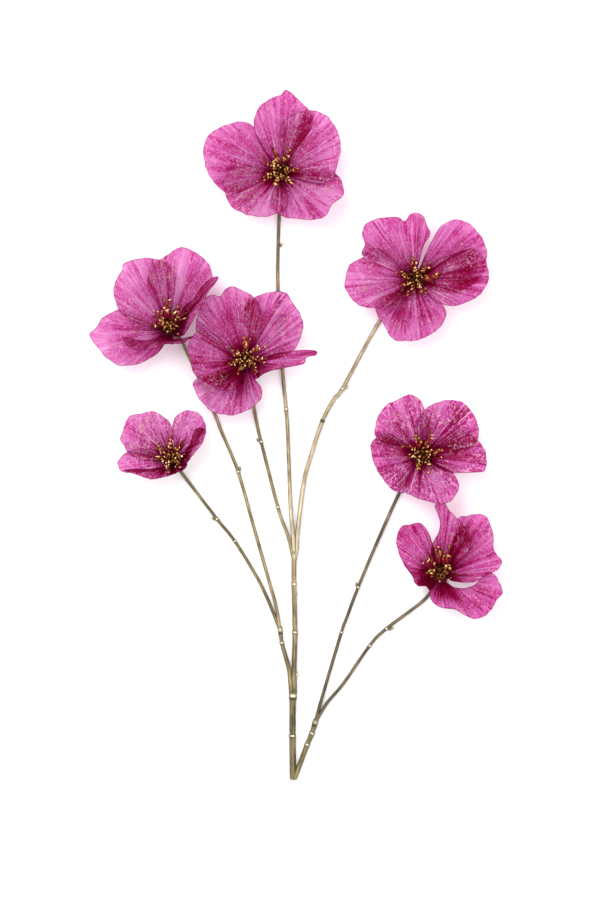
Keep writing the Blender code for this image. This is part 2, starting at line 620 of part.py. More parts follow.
def bead_head(name, bloom, finish):
    """The dense middle: a dome with beads standing out of it."""
    lean = Vector((*bloom["lean"], HEAD_UPRIGHT)).normalized()
    base = DISC[-1][1] + GAP
    middle = hub_of(bloom, base) + lean * HEAD_LIFT
    bm = bmesh.new()
    bmesh.ops.create_icosphere(bm, subdivisions=2, radius=HEAD_RADIUS)
    bmesh.ops.scale(bm, vec=(1, 1, 1.1), verts=bm.verts)
    bmesh.ops.translate(bm, vec=middle, verts=bm.verts)
    cut = bmesh.ops.bisect_plane(bm, geom=bm.verts[:] + bm.edges[:] + bm.faces[:], plane_co=(0, 0, base),
                                 plane_no=(0, 0, -1), clear_outer=True)
    rim = [e for e in cut["geom_cut"] if isinstance(e, bmesh.types.BMEdge)]
    bmesh.ops.holes_fill(bm, edges=rim)
    bmesh.ops.recalc_face_normals(bm, faces=bm.faces)
    dome = object_from(bm, "dome")
    turn = lean.to_track_quat("Z", "Y")
    beads = []
    for i in range(HEAD_BEADS):
        height = 1 - 0.8 * (i + 0.5) / HEAD_BEADS
        angle = i * math.pi * (3 - math.sqrt(5))
        flat = math.sqrt(1 - height**2)
        way = turn @ Vector((flat * math.cos(angle), flat * math.sin(angle), height))
        bm = bmesh.new()
        bmesh.ops.create_uvsphere(bm, u_segments=5, v_segments=2, radius=BEAD_RADIUS)
        bmesh.ops.rotate(bm, matrix=way.to_track_quat("Z", "Y").to_matrix(), verts=bm.verts)
        bmesh.ops.translate(bm, vec=middle + way * (HEAD_RADIUS + 0.3), verts=bm.verts)
        beads.append(object_from(bm, "bead"))
    return fuse(dome, beads, "centre_" + name, finish)


def stem_line(points, radii, nodes=()):
    """(point, radius) pairs along a stem, with a swelling at each of its nodes."""
    path = smooth_path(points)
    lengths = lengths_along(path)
    whole = lengths[-1]
    steps = max(2, round(whole / STEM_STEP))
    swells = []
    for node in nodes:
        spot = Vector(node)
        swells.append(min(zip(lengths, path), key=lambda pair: (pair[1].xy - spot).length)[0])
    wanted = {round(whole * i / steps, 3): 1.0 for i in range(steps + 1)}
    for at in swells:
        wanted = {k: v for k, v in wanted.items() if abs(k - at) > 4 or k in (0, whole)}
        for offset, swell in ((-3.0, 1.0), (-1.0, NODE_SWELL), (1.0, NODE_SWELL), (3.0, 1.0)):
            wanted[round(at + offset, 3)] = swell
    return [
        (point_at(path, lengths, at), wanted[at] * (radii[0] + (radii[1] - radii[0]) * at / whole))
        for at in sorted(wanted)
    ]


def bud(line, spot, side):
    """A small pointed bud on one side of a stem, leaning along it."""
    nearest = min(range(1, len(line) - 1), key=lambda i: (line[i][0].xy - Vector(spot)).length)
    base = line[nearest][0]
    along = (line[nearest + 1][0] - line[nearest - 1][0]).normalized()
    out = Vector((along.y * side, -along.x * side, 0)).normalized()
    way = (along * 1.6 + out).normalized()
    start = base + out * 0.4
    tip = start + way * BUD_LENGTH
    return [
        (start, 0.9),
        (start.lerp(tip, 0.35), BUD_RADIUS),
        (start.lerp(tip, 0.7), BUD_RADIUS * 0.8),
        (tip, 0.3),
    ]


def branch(name, points, radii, nodes, end_radius, finish):
    """A branch whose end swells into the socket that the next stems plug into."""
    line = stem_line(points, radii, nodes)
    end, last = line[-1]
    way = (end - line[-2][0]).normalized()
    line[-1] = (end - way * 6, last)
    line += [(end - way * 4.2, end_radius), (end, end_radius)]
    made = tube([line], name, 2)
    finished(made, name, finish)
    return made


def main_stem(finish):
    """The lower stem and the right-hand branch, one piece, with a flat spot under the collar."""
    foot = stem_line(FOOT, (MAIN, MAIN), [(-2.8, -240)])
    end = foot[-1][0]
    foot[-1] = (end - Vector((0, 6, 0)), MAIN)
    foot += [(end - Vector((0, 4.5, 0)), COLLAR), (end, COLLAR)]
    side = stem_line(RIGHT_BRANCH, (BRANCH, BRANCH), [(9.2, -247), (12.9, -238)])
    tip = side[-1][0]
    way = (tip - side[-2][0]).normalized()
    side[-1] = (tip - way * 5.5, BRANCH)
    side += [(tip - way * 4, 2.9), (tip, 2.9)]
    main = tube([foot], "main", 3)
    joined = fuse(main, [tube([side], "side", 2)], "main_stem", finish)
    bm = bmesh.new()
    bm.from_mesh(joined.data)
    cut = bmesh.ops.bisect_plane(bm, geom=bm.verts[:] + bm.edges[:] + bm.faces[:], plane_co=(0, 0, 0),
                                 plane_no=(0, 0, -1), clear_outer=True)
    bmesh.ops.holes_fill(bm, edges=[e for e in cut["geom_cut"] if isinstance(e, bmesh.types.BMEdge)])
    bmesh.ops.recalc_face_normals(bm, faces=bm.faces)
    bm.to_mesh(joined.data)
    bm.free()
    return joined


def flower_stem(name, stem, bloom, finish):
    """A twig from its socket to the neck that turns up under the bloom."""
    hub = hub_of(bloom)
    last = Vector(stem["line"][-1])
    back = (last - hub) * Vector((1, 1, 0))
    back.normalize()
    neck = [
        hub + back * NECK + Vector((0, 0, TWIG + 0.05)),
        hub + back * 0.42 * NECK + Vector((0, 0, TWIG + 0.9)),
        hub + back * 0.08 * NECK + Vector((0, 0, 0.62 * NECK_TOP)),
        hub + Vector((0, 0, NECK_TOP)),
    ]
    line = stem_line([*stem["line"], *neck], (TWIG * 0.92, TWIG), stem["nodes"])
    keep = [pair for pair in line if (pair[0].xy - hub.xy).length > NECK + 3]
    bend = smooth_path(neck, 3)
    line = keep + [(spot, TWIG) for spot in bend]
    shoots = [tube([bud(line, (x, y), side)], "bud", 1) for x, y, side in stem["buds"]]
    return fuse(tube([line], name, 1), shoots, "stem_" + name, finish)


def calyx(name, bloom, finish):
    made = turned(CALYX, hub_of(bloom), "calyx_" + name)
    finished(made, "calyx_" + name, finish)
    return made


def main():
    for old in list(bpy.data.objects):
        bpy.data.objects.remove(old)
    fabric = material("petal fabric", PETAL_COLOUR, 0.7)
    threads = material("stamen thread", STAMEN_COLOUR, 0.5)
    gold = material("gold bead", GOLD_COLOUR, 0.35, 0.8)
    bronze = material("stem paint", STEM_COLOUR, 0.45, 0.5)
    for name, bloom in BLOOMS.items():
        sheets = petals(name, bloom, fabric)
        stamens(name, bloom, sheets, threads)
        bead_head(name, bloom, gold)
        calyx(name, bloom, bronze)
        flower_stem(name, FLOWER_STEMS[name], bloom, bronze)
    main_stem(bronze)
    branch("left_branch", LEFT_BRANCH, (1.7, 1.6), [(-11.3, -166)], 2.9, bronze)
    branch("centre_branch", CENTRE_BRANCH, (BRANCH, BRANCH), BRANCH_NODES, 2.8, bronze)


main()
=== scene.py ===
"""An artificial flower spray: sheer petals, beaded stamens and painted twigs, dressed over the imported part.

Lengths are in millimetres and become metres where a mesh is made. A bloom's own points are measured from its place
on the table, and +Y runs from the cut end towards the top bloom.
"""

import math
import random

import bmesh
import bpy
import numpy as np
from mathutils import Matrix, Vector, noise
from mathutils.bvhtree import BVHTree


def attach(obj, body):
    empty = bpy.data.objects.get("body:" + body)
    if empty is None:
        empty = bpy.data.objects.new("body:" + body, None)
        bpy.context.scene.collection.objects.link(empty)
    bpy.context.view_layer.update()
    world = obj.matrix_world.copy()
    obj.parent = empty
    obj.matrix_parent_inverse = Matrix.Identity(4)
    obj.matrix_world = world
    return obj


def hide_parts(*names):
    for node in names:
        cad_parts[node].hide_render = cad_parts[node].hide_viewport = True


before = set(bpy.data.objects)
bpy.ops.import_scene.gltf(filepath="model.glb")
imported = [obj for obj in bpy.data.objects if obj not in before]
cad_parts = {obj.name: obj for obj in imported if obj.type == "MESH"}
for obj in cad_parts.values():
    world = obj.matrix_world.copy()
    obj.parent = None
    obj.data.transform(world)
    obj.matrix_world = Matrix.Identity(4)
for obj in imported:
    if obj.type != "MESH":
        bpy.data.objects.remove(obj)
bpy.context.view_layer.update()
MM = 0.001
UP = Vector((0, 0, 1))
ON_TABLE = Vector((1, 1, 0))
GOLDEN_ANGLE = math.pi * (3 - math.sqrt(5))

# The view: straight down on the spray, with the cut end at the foot of the picture
VIEW_CENTRE = (3.2, -12.0)
VIEW_HEIGHT = 5000.0
LENS = 250.0
SENSOR = 36.0

# Lamps as (name, place, size, power)
LAMPS = [("key", (-0.7, 0.9, 2.6), 1.4, 50), ("fill", (1.0, -0.5, 2.6), 1.8, 24)]
TABLE_REACH = 6

# A petal's root and rim. The rim is ragged in waves of (height, waves per millimetre).
CLAW = 4.2
FLAT_ROOT = 6.0
RIM_START = 6.8
RIM_START_RISE = 1.6
RIM_STEPS = 12
RAGGED = [(0.9, 0.16), (0.5, 0.45)]
RIM_POINTS = 400
LOWEST_ROOT = 15.4
LAYER_RISE = 1.0
CUP = 1.3

# The net of faces in a petal, and how it settles
ACROSS = 54
ALONG = 46
SIDE_SHARE = 0.2
SETTLING = 36
TURNED_IN = 0.2
RIM_PULL = 4

# Folds: the heights of broad and fine pleats, of the waved rim, of the crinkle and of the rolled hem, and how often
# the first three come round a petal
BROAD_FOLD, BROAD_RATE = 5.0, 4.0
FINE_FOLD, FINE_RATE = 1.6, 12
WAVED_RIM, WAVE_RATE = 2.0, 4.5
CRINKLE = 0.5
ROLLED_HEM = 0.5
HEM_WIDTH = 1.6

# The cloth's thickness, how far one petal lies above another, and a height that is clear of everything
CLOTH = 0.28
LAID_APART = 0.9
ABOVE_ALL = 100

# Where one sheer petal lies over another, painted shade makes it look deeper, and outside the throat it glitters
DOUBLED_SHADE = 0.17
DOUBLED_GLINT = 0.22
MOST_GLINT = 0.5
THROAT = 12.0

# Turned pieces under and inside each bloom, as (radius, height)
CUP_PROFILE = [(0, 9.0), (2.0, 9.0), (2.3, 9.8), (3.4, 11.0), (4.7, 12.5), (5.6, 13.7), (5.7, 14.2), (0, 14.2)]
HUB_PROFILE = [(0, 14.5), (5.7, 14.5), (6.2, 15.6), (6.3, 17.4), (5.9, 19.2), (5.2, 20.2), (0, 20.3)]
DISC_PROFILE = [(0, 20.6), (5.0, 20.6), (5.1, 21.2), (4.6, 21.9), (0, 22.0)]
TURNED_SIDES = 24

# Sepals, as (distance from the middle, height) along one, and its half widths
SEPALS = 5
SEPAL_LINE = [(3.2, 11.4), (6.2, 13.2), (9.6, 13.9)]
SEPAL_WIDTHS = [1.5, 1.9, 2.2, 2.3, 2.2, 1.9, 1.4, 0.8, 0.15]
SEPAL_FLAT = 0.16

# Stamens, ring by ring: how many, how far out their roots stand, their lean in degrees and their length
RINGS = [
    {"count": 38, "root": 3.2, "lean": (10, 44), "length": (8, 12)},
    {"count": 20, "root": 4.0, "lean": (32, 54), "length": (9, 13)},
    {"count": 13, "root": 4.6, "lean": (48, 70), "length": (11, 16)},
]
STAMEN_FOOT = 21.3
TUFTS = 7
TUFT_SCATTER = 0.3
TUFT_PULL = 0.55
RING_SCATTER = 0.4
ARCH = 0.22
SIDE_BEND = 2.2
FILAMENT_RADIUS = 0.42
STRAY_RADIUS = 0.6
STRAY_RING = 3.3
TIP_RADIUS = 0.9
TIP_LENGTHS = (1.2, 2.2)
THREAD_CLEAR = 0.9
THREAD_BESIDE = 0.6
MOST_CLIMB = 3.0
CLIMB_OUTWARDS = 3
SHORTEST_FILAMENT = 5.0

# Beads: how much each is bent, flattened and made lumpy at random
BEAD_BEND = 0.7
BEAD_FLAT = (0.6, 1)
BEAD_LUMPS = (0.85, 1.15)

# The head of beads in the middle
HEAD_BASE = 22.3
HEAD_RADIUS = 4.6
HEAD_BEADS = 34
BEAD_RADIUS = (1.0, 1.75)
BEAD_LENGTH = 1.4
HEAD_LIFT = 3.4
HEAD_UPRIGHT = 60
HEAD_SHIFT = 0.25
HEAD_COVER = 0.95
HEAD_SCATTER = 0.2
HEAD_PROUD = (0.1, 1.2)

# Stems. The neck that turns up under a bloom is (share of its reach, height). A node swells and then narrows, as
# (place along the stem, half width, share of the radius).
STEM_STEP = 1.2
UNEVEN = 0.1
UNEVEN_RATE = 0.35
NECK_REACH = 9.0
NECK_LINE = [(1.0, 1.35), (0.42, 2.2), (0.08, 5.394), (0.0, 8.7)]
NODE_SHAPE = [(0, 1.3, 0.22), (2.6, 1.0, -0.14)]
SOCKET_BACK = 3.5
SOCKET_WIDTH = 3.0
BUD_LENGTH = 6.5
BUD_RADIUS = 1.5
BUD_SHAPE = [0.6, 0.85, 1.0, 0.95, 0.7, 0.4, 0.12]
LARGE_BUD = 0.7
LARGE_BUD_OUT = 0.4
SMALL_BUD_OUT = 1.2

# Each bloom: its place, its hub from there, the size of its bead head, how closely its stamens are gathered and how
# they lean, its stray bare filament ends, its cloth as (depth of dye, pale web, width of throat, fineness of web),
# the layers given painted shade, and where it glitters most, as (x, y, reach)
BLOOMS = {
    "top": {
        "place": (-12.5, 209.0), "hub": (0, 0), "head": 1.1, "gather": 0.85, "lean": (0, 3.5),
        "strays": [], "cloth": (-0.02, 0.85, 1.1, 360), "painted_shade": {},
        "glints": [(16, 39, 15), (-26, -26, 11), (26, -8, 13)],
    },
    "upper_right": {
        "place": (95.5, 123.0), "hub": (-1, 1), "head": 1.0, "gather": 0.85, "lean": (1, 1.5),
        "strays": [(-12, 22, 34), (8, 20, 33)],
        "cloth": (0.035, 0.8, 1.05, 380), "painted_shade": {},
        "glints": [(-34, 19, 13), (42, 17, 12), (-12, -16, 8)],
    },
    "upper_left": {
        "place": (-102.0, 98.0), "hub": (1, -14.5), "head": 0.78, "gather": 0.6, "lean": (0, 10),
        "strays": [(-20, -15, 30), (-15, -11, 32), (-13, -18.5, 31)],
        "cloth": (-0.05, 0.85, 1.0, 380), "painted_shade": {3: 0.22, 4: 0.1},
        "glints": [(-2, 30, 16), (-26, -14, 10)],
    },
    "middle": {
        "place": (-40.5, 63.5), "hub": (0, -5), "head": 1.12, "gather": 0.85, "lean": (1, 4),
        "strays": [], "cloth": (-0.02, 0.8, 1.2, 380), "painted_shade": {3: 0.14, 4: 0.12},
        "glints": [(0, 34, 13), (-22, -19, 11), (30, 26, 12)],
    },
    "left": {
        "place": (-99.5, -17.0), "hub": (0, -2.5), "head": 0.88, "gather": 0.65, "lean": (-0.5, 5.5),
        "strays": [(-16, 12, 30), (-8, 19, 31), (8, 16, 32), (13, 16, 34), (-17, -3, 31)],
        "cloth": (-0.1, 1.3, 1.0, 250), "painted_shade": {3: 0.26, 4: 0.24},
        "glints": [(-22, 2, 9), (-20, 22, 14)],
    },
    "right": {
        "place": (100.5, -16.0), "hub": (0, -1), "head": 1.15, "gather": 0.9, "lean": (1, 4),
        "strays": [], "cloth": (0.075, 1.25, 0.95, 250), "painted_shade": {},
        "glints": [(28, 9, 13), (30, 30, 14), (8, 28, 10), (-24, 8, 12)],
    },
    "lower_right": {
        "place": (115.5, -106.0), "hub": (0, -6), "head": 0.88, "gather": 0.62, "lean": (-1.5, 9),
        "strays": [(6, 16, 33), (-12, 5, 30), (21, -5, 33), (14, -11, 30)],
        "cloth": (0.035, 0.75, 1.3, 400), "painted_shade": {2: 0.15, 3: 0.12},
        "glints": [(17, 24, 12), (34, -22, 13), (33, 30, 10)],
    },
}

# Each bloom's petals from the lowest up. The rim of a petal runs from one side of its root round to the other, as
# (x, y, height).
PETALS = {
    "top": [
        [(-8, 10, 18), (-16, 26, 26), (-22, 37, 31), (-33, 40, 34), (-44, 37, 35), (-57, 29, 33), (-61, 17, 32),
         (-58, 0, 33), (-50, -11, 32), (-40, -17, 27), (-24, -12, 22), (-9, -4, 17)],
        [(0, -8, 18), (-6, -20, 23), (-6, -29, 25), (1, -35, 28), (12, -37, 31), (26, -38, 34), (36, -35, 36),
         (41, -26, 37), (50, -19, 38), (50, -13, 38), (47, -4, 35), (38, 2, 30), (22, 3, 22), (8, 2, 17.5)],
        [(9, 9, 19), (20, 26, 25), (26, 40, 29), (22, 50, 32), (11, 61, 33), (4, 65, 36), (0, 61, 33), (-9, 58, 35),
         (-15, 53, 37), (-19, 47, 38), (-21, 36, 37), (-16, 22, 30), (-7, 8, 21)],
        [(8, -3, 22), (22, -8, 28), (34, -9, 33), (42, -5, 37), (45, 4, 39), (48, 17, 40), (46, 30, 40), (41, 40, 39),
         (36, 45, 37), (24, 49, 36), (12, 46, 37), (3, 40, 37), (0, 30, 33), (1, 18, 28), (4, 8, 22)],
        [(-8, 2, 22), (-22, 5, 29), (-36, 3, 38), (-43, -3, 41), (-45, -13, 38), (-41, -24, 35), (-34, -31, 33),
         (-22, -35, 34), (-13, -36, 33), (-3, -33, 33), (5, -29, 33), (6, -19, 28), (2, -8, 21)],
    ],
    "upper_right": [
        [(3, -6, 17), (12, -13, 21), (21, -19, 25), (24, -27, 29), (20, -36, 31), (10, -44, 33), (-2, -48, 34),
         (-14, -48, 34), (-21, -44, 33), (-27, -33, 31), (-33, -22, 27), (-29, -14, 23), (-16, -9, 19), (-6, -3, 17)],
        [(3, 9, 18), (7, 20, 25), (13, 32, 31), (20, 43, 36), (32, 48, 38), (43, 44, 38), (52, 34, 36), (56, 23, 34),
         (56, 14, 32), (53, 5, 29), (44, -4, 26), (33, -10, 23), (20, -9, 20), (7, -3, 17)],
        [(-7, 4, 18.5), (-22, 12, 25), (-34, 17, 30), (-43, 20, 35), (-41, 28, 37), (-43, 38, 38), (-38, 46, 37),
         (-25, 50, 35), (-14, 50, 33), (-9, 47, 29), (-6, 51, 36), (-1, 54, 39), (6, 50, 40), (9, 42, 39),
         (11, 36, 36), (6, 27, 30), (2, 12, 20)],
        [(-5, -4, 20), (-14, -18, 27), (-25, -21, 31), (-38, -22, 34), (-47, -19, 35), (-56, -8, 36), (-56, 3, 37),
         (-53, 12, 38), (-43, 18, 39), (-37, 22, 41), (-30, 25, 42), (-22, 21, 37), (-14, 12, 31), (-5, 5, 23)],
        [(5, 8, 21), (14, 15, 28), (27, 20, 34), (38, 24, 38), (47, 24, 40), (53, 17, 39), (57, 9, 38), (57, -1, 36),
         (52, -10, 35), (44, -16, 34), (32, -20, 33), (20, -19, 30), (10, -12, 24), (4, -6, 20)],
    ],
    "upper_left": [
        [(-2, -23, 17), (-6, -31, 22), (-16, -38, 27), (-26, -42, 30), (-38, -43, 32), (-48, -37, 33), (-56, -28, 33),
         (-62, -19, 34), (-57, -13, 32), (-52, -5, 31), (-45, -1, 30), (-36, 2, 27), (-22, -4, 20), (-6, -13, 16)],
        [(-6, -15, 20), (-16, -12, 26), (-28, -7, 31), (-38, 0, 33), (-42, 10, 32), (-43, 20, 31), (-39, 29, 31),
         (-36, 34, 33), (-35, 38, 31), (-24, 42, 30), (-9, 42, 28), (2, 37, 25), (8, 24, 22), (7, 4, 19),
         (4, -10, 17)],
        [(-3, -10, 21), (-9, 6, 28), (-15, 17, 33), (-16, 26, 36), (-12, 36, 36), (0, 45, 35), (10, 51, 34),
         (21, 48, 34), (31, 40, 34), (36, 28, 32), (33, 18, 29), (24, 6, 24), (10, -10, 19)],
        [(6, -15, 21), (12, 3, 27), (20, 10, 31), (27, 20, 35), (34, 26, 38), (40, 27, 42), (38, 22, 46),
         (33, 16, 50), (29, 8, 52), (23, -3, 52), (17, -13, 48), (12, -19, 38), (6, -20, 24)],
        [(4, -21, 21), (13, -21, 27), (21, -19, 30), (16, -23, 37), (9, -25.5, 42), (-1, -26, 44), (-9, -29, 44),
         (-19, -31, 43), (-29, -29.5, 41), (-36, -20, 37), (-22, -23, 29), (-7, -21, 21)],
    ],
    "middle": [
        [(5, -2, 16.5), (3, 12, 18), (-1, 27, 22), (0, 39, 27), (8, 46, 32), (20, 50, 36), (31, 50, 38), (37, 43, 38),
         (43, 34, 38), (46, 25, 37), (44, 14, 35), (39, 4, 31), (28, -2, 25), (12, -6, 18)],
        [(5, -10, 17), (8, -19, 21), (13, -26, 25), (13, -34, 28), (7, -41, 30), (-3, -46, 32), (-13, -48, 33),
         (-24, -46, 33), (-34, -38, 32), (-40, -28, 30), (-40, -20, 28), (-26, -16, 22), (-6, -10, 17)],
        [(-6, -4, 18.5), (-18, 2, 24), (-31, 11, 29), (-39, 20, 33), (-37, 33, 37), (-31, 45, 38), (-25, 48, 37),
         (-20, 47, 35), (-15, 52, 38), (-8, 54, 38), (4, 48, 37), (11, 41, 35), (13, 30, 32), (9, 14, 28),
         (3, 2, 22)],
        [(6, -6, 21), (16, -1, 27), (28, 2, 33), (40, 3.5, 38), (50, 4, 42), (57, 3, 44), (56, -0.5, 45),
         (49, -2, 46), (47, -7, 46), (36, -9.5, 44), (26, -11.5, 41), (17, -14, 36), (8, -19, 29), (4, -12, 22)],
        [(-2, -10, 21), (0, -16, 25), (2, -22, 30), (-6, -27, 34), (-18, -28, 38), (-27, -24, 40), (-34, -20, 39),
         (-40, -16, 40), (-43, -6, 41), (-45, 4, 41), (-43, 13, 40), (-36, 19, 39), (-28, 19, 37), (-21, 13, 34),
         (-13, 3, 29), (-5, -3, 23)],
    ],
    "left": [
        [(-1, 1, 17), (0, 10, 19), (2, 16, 22), (0, 25, 26), (-5, 31, 29), (-14, 36, 31), (-25, 34, 31),
         (-33, 31, 30), (-38, 22, 30), (-40, 14, 30), (-36, 6, 28), (-31, 0, 25), (-18, -4, 20), (-6, -5, 16)],
        [(2, 2, 19), (2, 10, 22), (1, 20, 26), (3, 30, 30), (10, 36, 32), (19, 36, 33), (25, 31, 34), (28, 23, 34),
         (25, 13, 29), (17, 4, 23), (6, -3, 18)],
        [(-6, -4, 19), (-11, 3, 24), (-18, 6, 28), (-26, 6, 31), (-35, 3, 33), (-40, -1, 34), (-42, -6, 35),
         (-38, -12.5, 33), (-26, -13, 28), (-14, -12, 22), (-5, -9, 18)],
        [(6, -3, 21), (11, 4, 25), (15, 10, 28), (17, 17, 30), (20, 22, 32), (25, 23, 36), (28, 20, 40), (26, 12, 44),
         (22, 6, 45), (17, 0, 44), (12, -7, 39), (6, -6, 27)],
        [(5, -6, 20), (12.5, -5.5, 28), (10.5, -10.5, 33), (1, -15, 36), (-7, -17, 38), (-15, -18, 39),
         (-22, -16, 39), (-29, -14, 38), (-37, -11, 37), (-28, -10, 33), (-16, -10, 27), (-5, -8, 21)],
    ],
    "right": [
        [(-5, 4, 17), (-18, 7, 22), (-30, 10, 26), (-37, 15, 31), (-37, 25, 33), (-34, 33, 34), (-28, 40, 35),
         (-18, 45, 35), (-9, 48, 35), (-2, 44, 33), (2, 36, 30), (6, 28, 24.5), (5, 13, 18), (1, 6, 17)],
        [(-3, -6, 18), (-6, -13, 21), (-9, -23, 24), (-16, -30.5, 28), (-24, -27, 31), (-32, -18, 33), (-38, -8, 35),
         (-41, 4, 37), (-40, 10, 38), (-34, 16, 38), (-25, 17, 35), (-14, 10, 27), (-5, 2, 19)],
        [(-2, 6, 19), (-4, 18, 24), (-3, 28, 29), (2, 36, 34), (9, 41, 36), (24, 44, 38), (34, 40, 38), (41, 31, 38),
         (45, 19, 36), (43, 10, 33), (36, 4, 29), (22, 1, 23), (7, 1, 18)],
        [(-3, -6, 20), (-10, -14, 25), (-15, -23, 29), (-14, -29, 32), (-4, -34, 34), (8, -38, 37), (16, -39, 37),
         (24, -35, 37), (29, -26, 36), (27, -18, 32), (22, -12, 26), (10, -7, 21), (4, -5, 19)],
        [(5, -5, 21), (14, -11, 27), (24, -14, 31), (36, -14, 35), (48, -13, 39), (51, -8, 40), (50, 1, 41),
         (47, 8, 42), (42, 13, 43), (34, 18, 42), (26, 20, 39), (18, 15, 33), (10, 7, 27), (4, 2, 22)],
    ],
    "lower_right": [
        [(3, -10, 16.5), (10, -15, 19), (18, -16, 22), (26, -14, 26), (30.5, -8.5, 29), (36, -3, 31), (41, -4, 33),
         (45, -9, 34), (49, -19, 34), (44, -25, 34), (41, -32, 34), (36, -37, 35), (28, -40, 36), (20, -38, 35),
         (12, -33, 33), (4, -32, 31), (-5, -29, 28), (-9, -22, 24), (-8, -13, 18.5)],
        [(4, -2, 18), (7, 12, 21), (10, 26, 25), (13, 39, 29), (22, 42, 33), (33, 43, 36), (38, 37, 36), (41, 26, 36),
         (42, 15, 35), (44, 11, 34), (48, 6, 37), (45, -1, 37), (37, -5, 36), (29, -10, 33), (20, -11.5, 29),
         (9, -10.5, 22), (4, -7, 19)],
        [(-4, -14, 18), (-8.5, -18, 20.5), (-12, -14.5, 23), (-19, -14, 27), (-24, -5, 31), (-29, 2, 33),
         (-34, 12, 35), (-36, 24, 37), (-33, 32, 37), (-27, 35, 36), (-17, 36, 34), (-11, 30, 32), (-7, 20, 27),
         (-3, 8, 21), (0, 1, 18)],
        [(-3, 0, 21), (-8, 12, 28), (-7, 19, 32), (-2, 29, 34), (-1, 38, 31), (-5, 50, 26), (2, 52, 26),
         (6.5, 46, 30), (13, 39, 36), (20, 31, 39), (24, 24, 38), (22, 14, 33), (11, 1, 25), (3, -1, 21)],
    ],
}

# Stems, as centre lines (x, y, height) from the cut end outwards, with the radii and the paleness of both ends, the
# places of the swollen nodes, the buds as (x, y, side, size), and how far a socket swells. A node is (x, y) with a
# pale ring, or (x, y, -1) with a dark one. The side of a bud is 1, -1 or, on top, 0.
CUT_END = -275.5
FOOT = {
    "radii": (2.6, 2.6), "tones_along": (0.0, -0.06), "socket": 0.7, "sides": 16,
    "line": [(-2.4, -278.0, 2.6), (-2.8, -240, 2.8), (-2.6, -214, 2.9), (-2.4, -205.5, 3.2)],
    "nodes": [(-2.8, -240)], "buds": [],
}
RIGHT_BRANCH = {
    "radii": (2.0, 2.0), "tones_along": (0.02, -0.08), "socket": 0.3,
    "line": [(-2.4, -278.0, 2.6), (4.0, -261, 2.6), (9.2, -247, 3.0), (12.9, -238, 3.3), (16.2, -227, 3.4)],
    "nodes": [(9.2, -247), (12.9, -238)], "buds": [],
}
BRANCHES = {
    "left_branch": {
        "radii": (1.8, 1.6), "tones_along": (-0.06, 0.0), "socket": 0.4,
        "line": [(-3.8, -206.7, 3.2), (-5.2, -190, 3.9), (-7.2, -181, 4.4), (-11.3, -166, 4.9), (-12.9, -153, 5.0)],
        "nodes": [(-11.3, -166)], "buds": [],
    },
    "centre_branch": {
        "radii": (2.1, 2.0), "tones_along": (-0.15, 0.0),
        "line": [(-1.2, -206.7, 3.2), (-1.5, -186, 4.2), (-0.8, -158, 5.2), (-1.6, -119, 5.4), (-1.6, -94, 5.0)],
        "nodes": [(-0.8, -158), (-1.6, -119)],
        "buds": [(-1.3, -194, 1, 0.85), (-1.4, -127, 1, 0.45), (-1.2, -95, 0, 0.6)],
    },
}
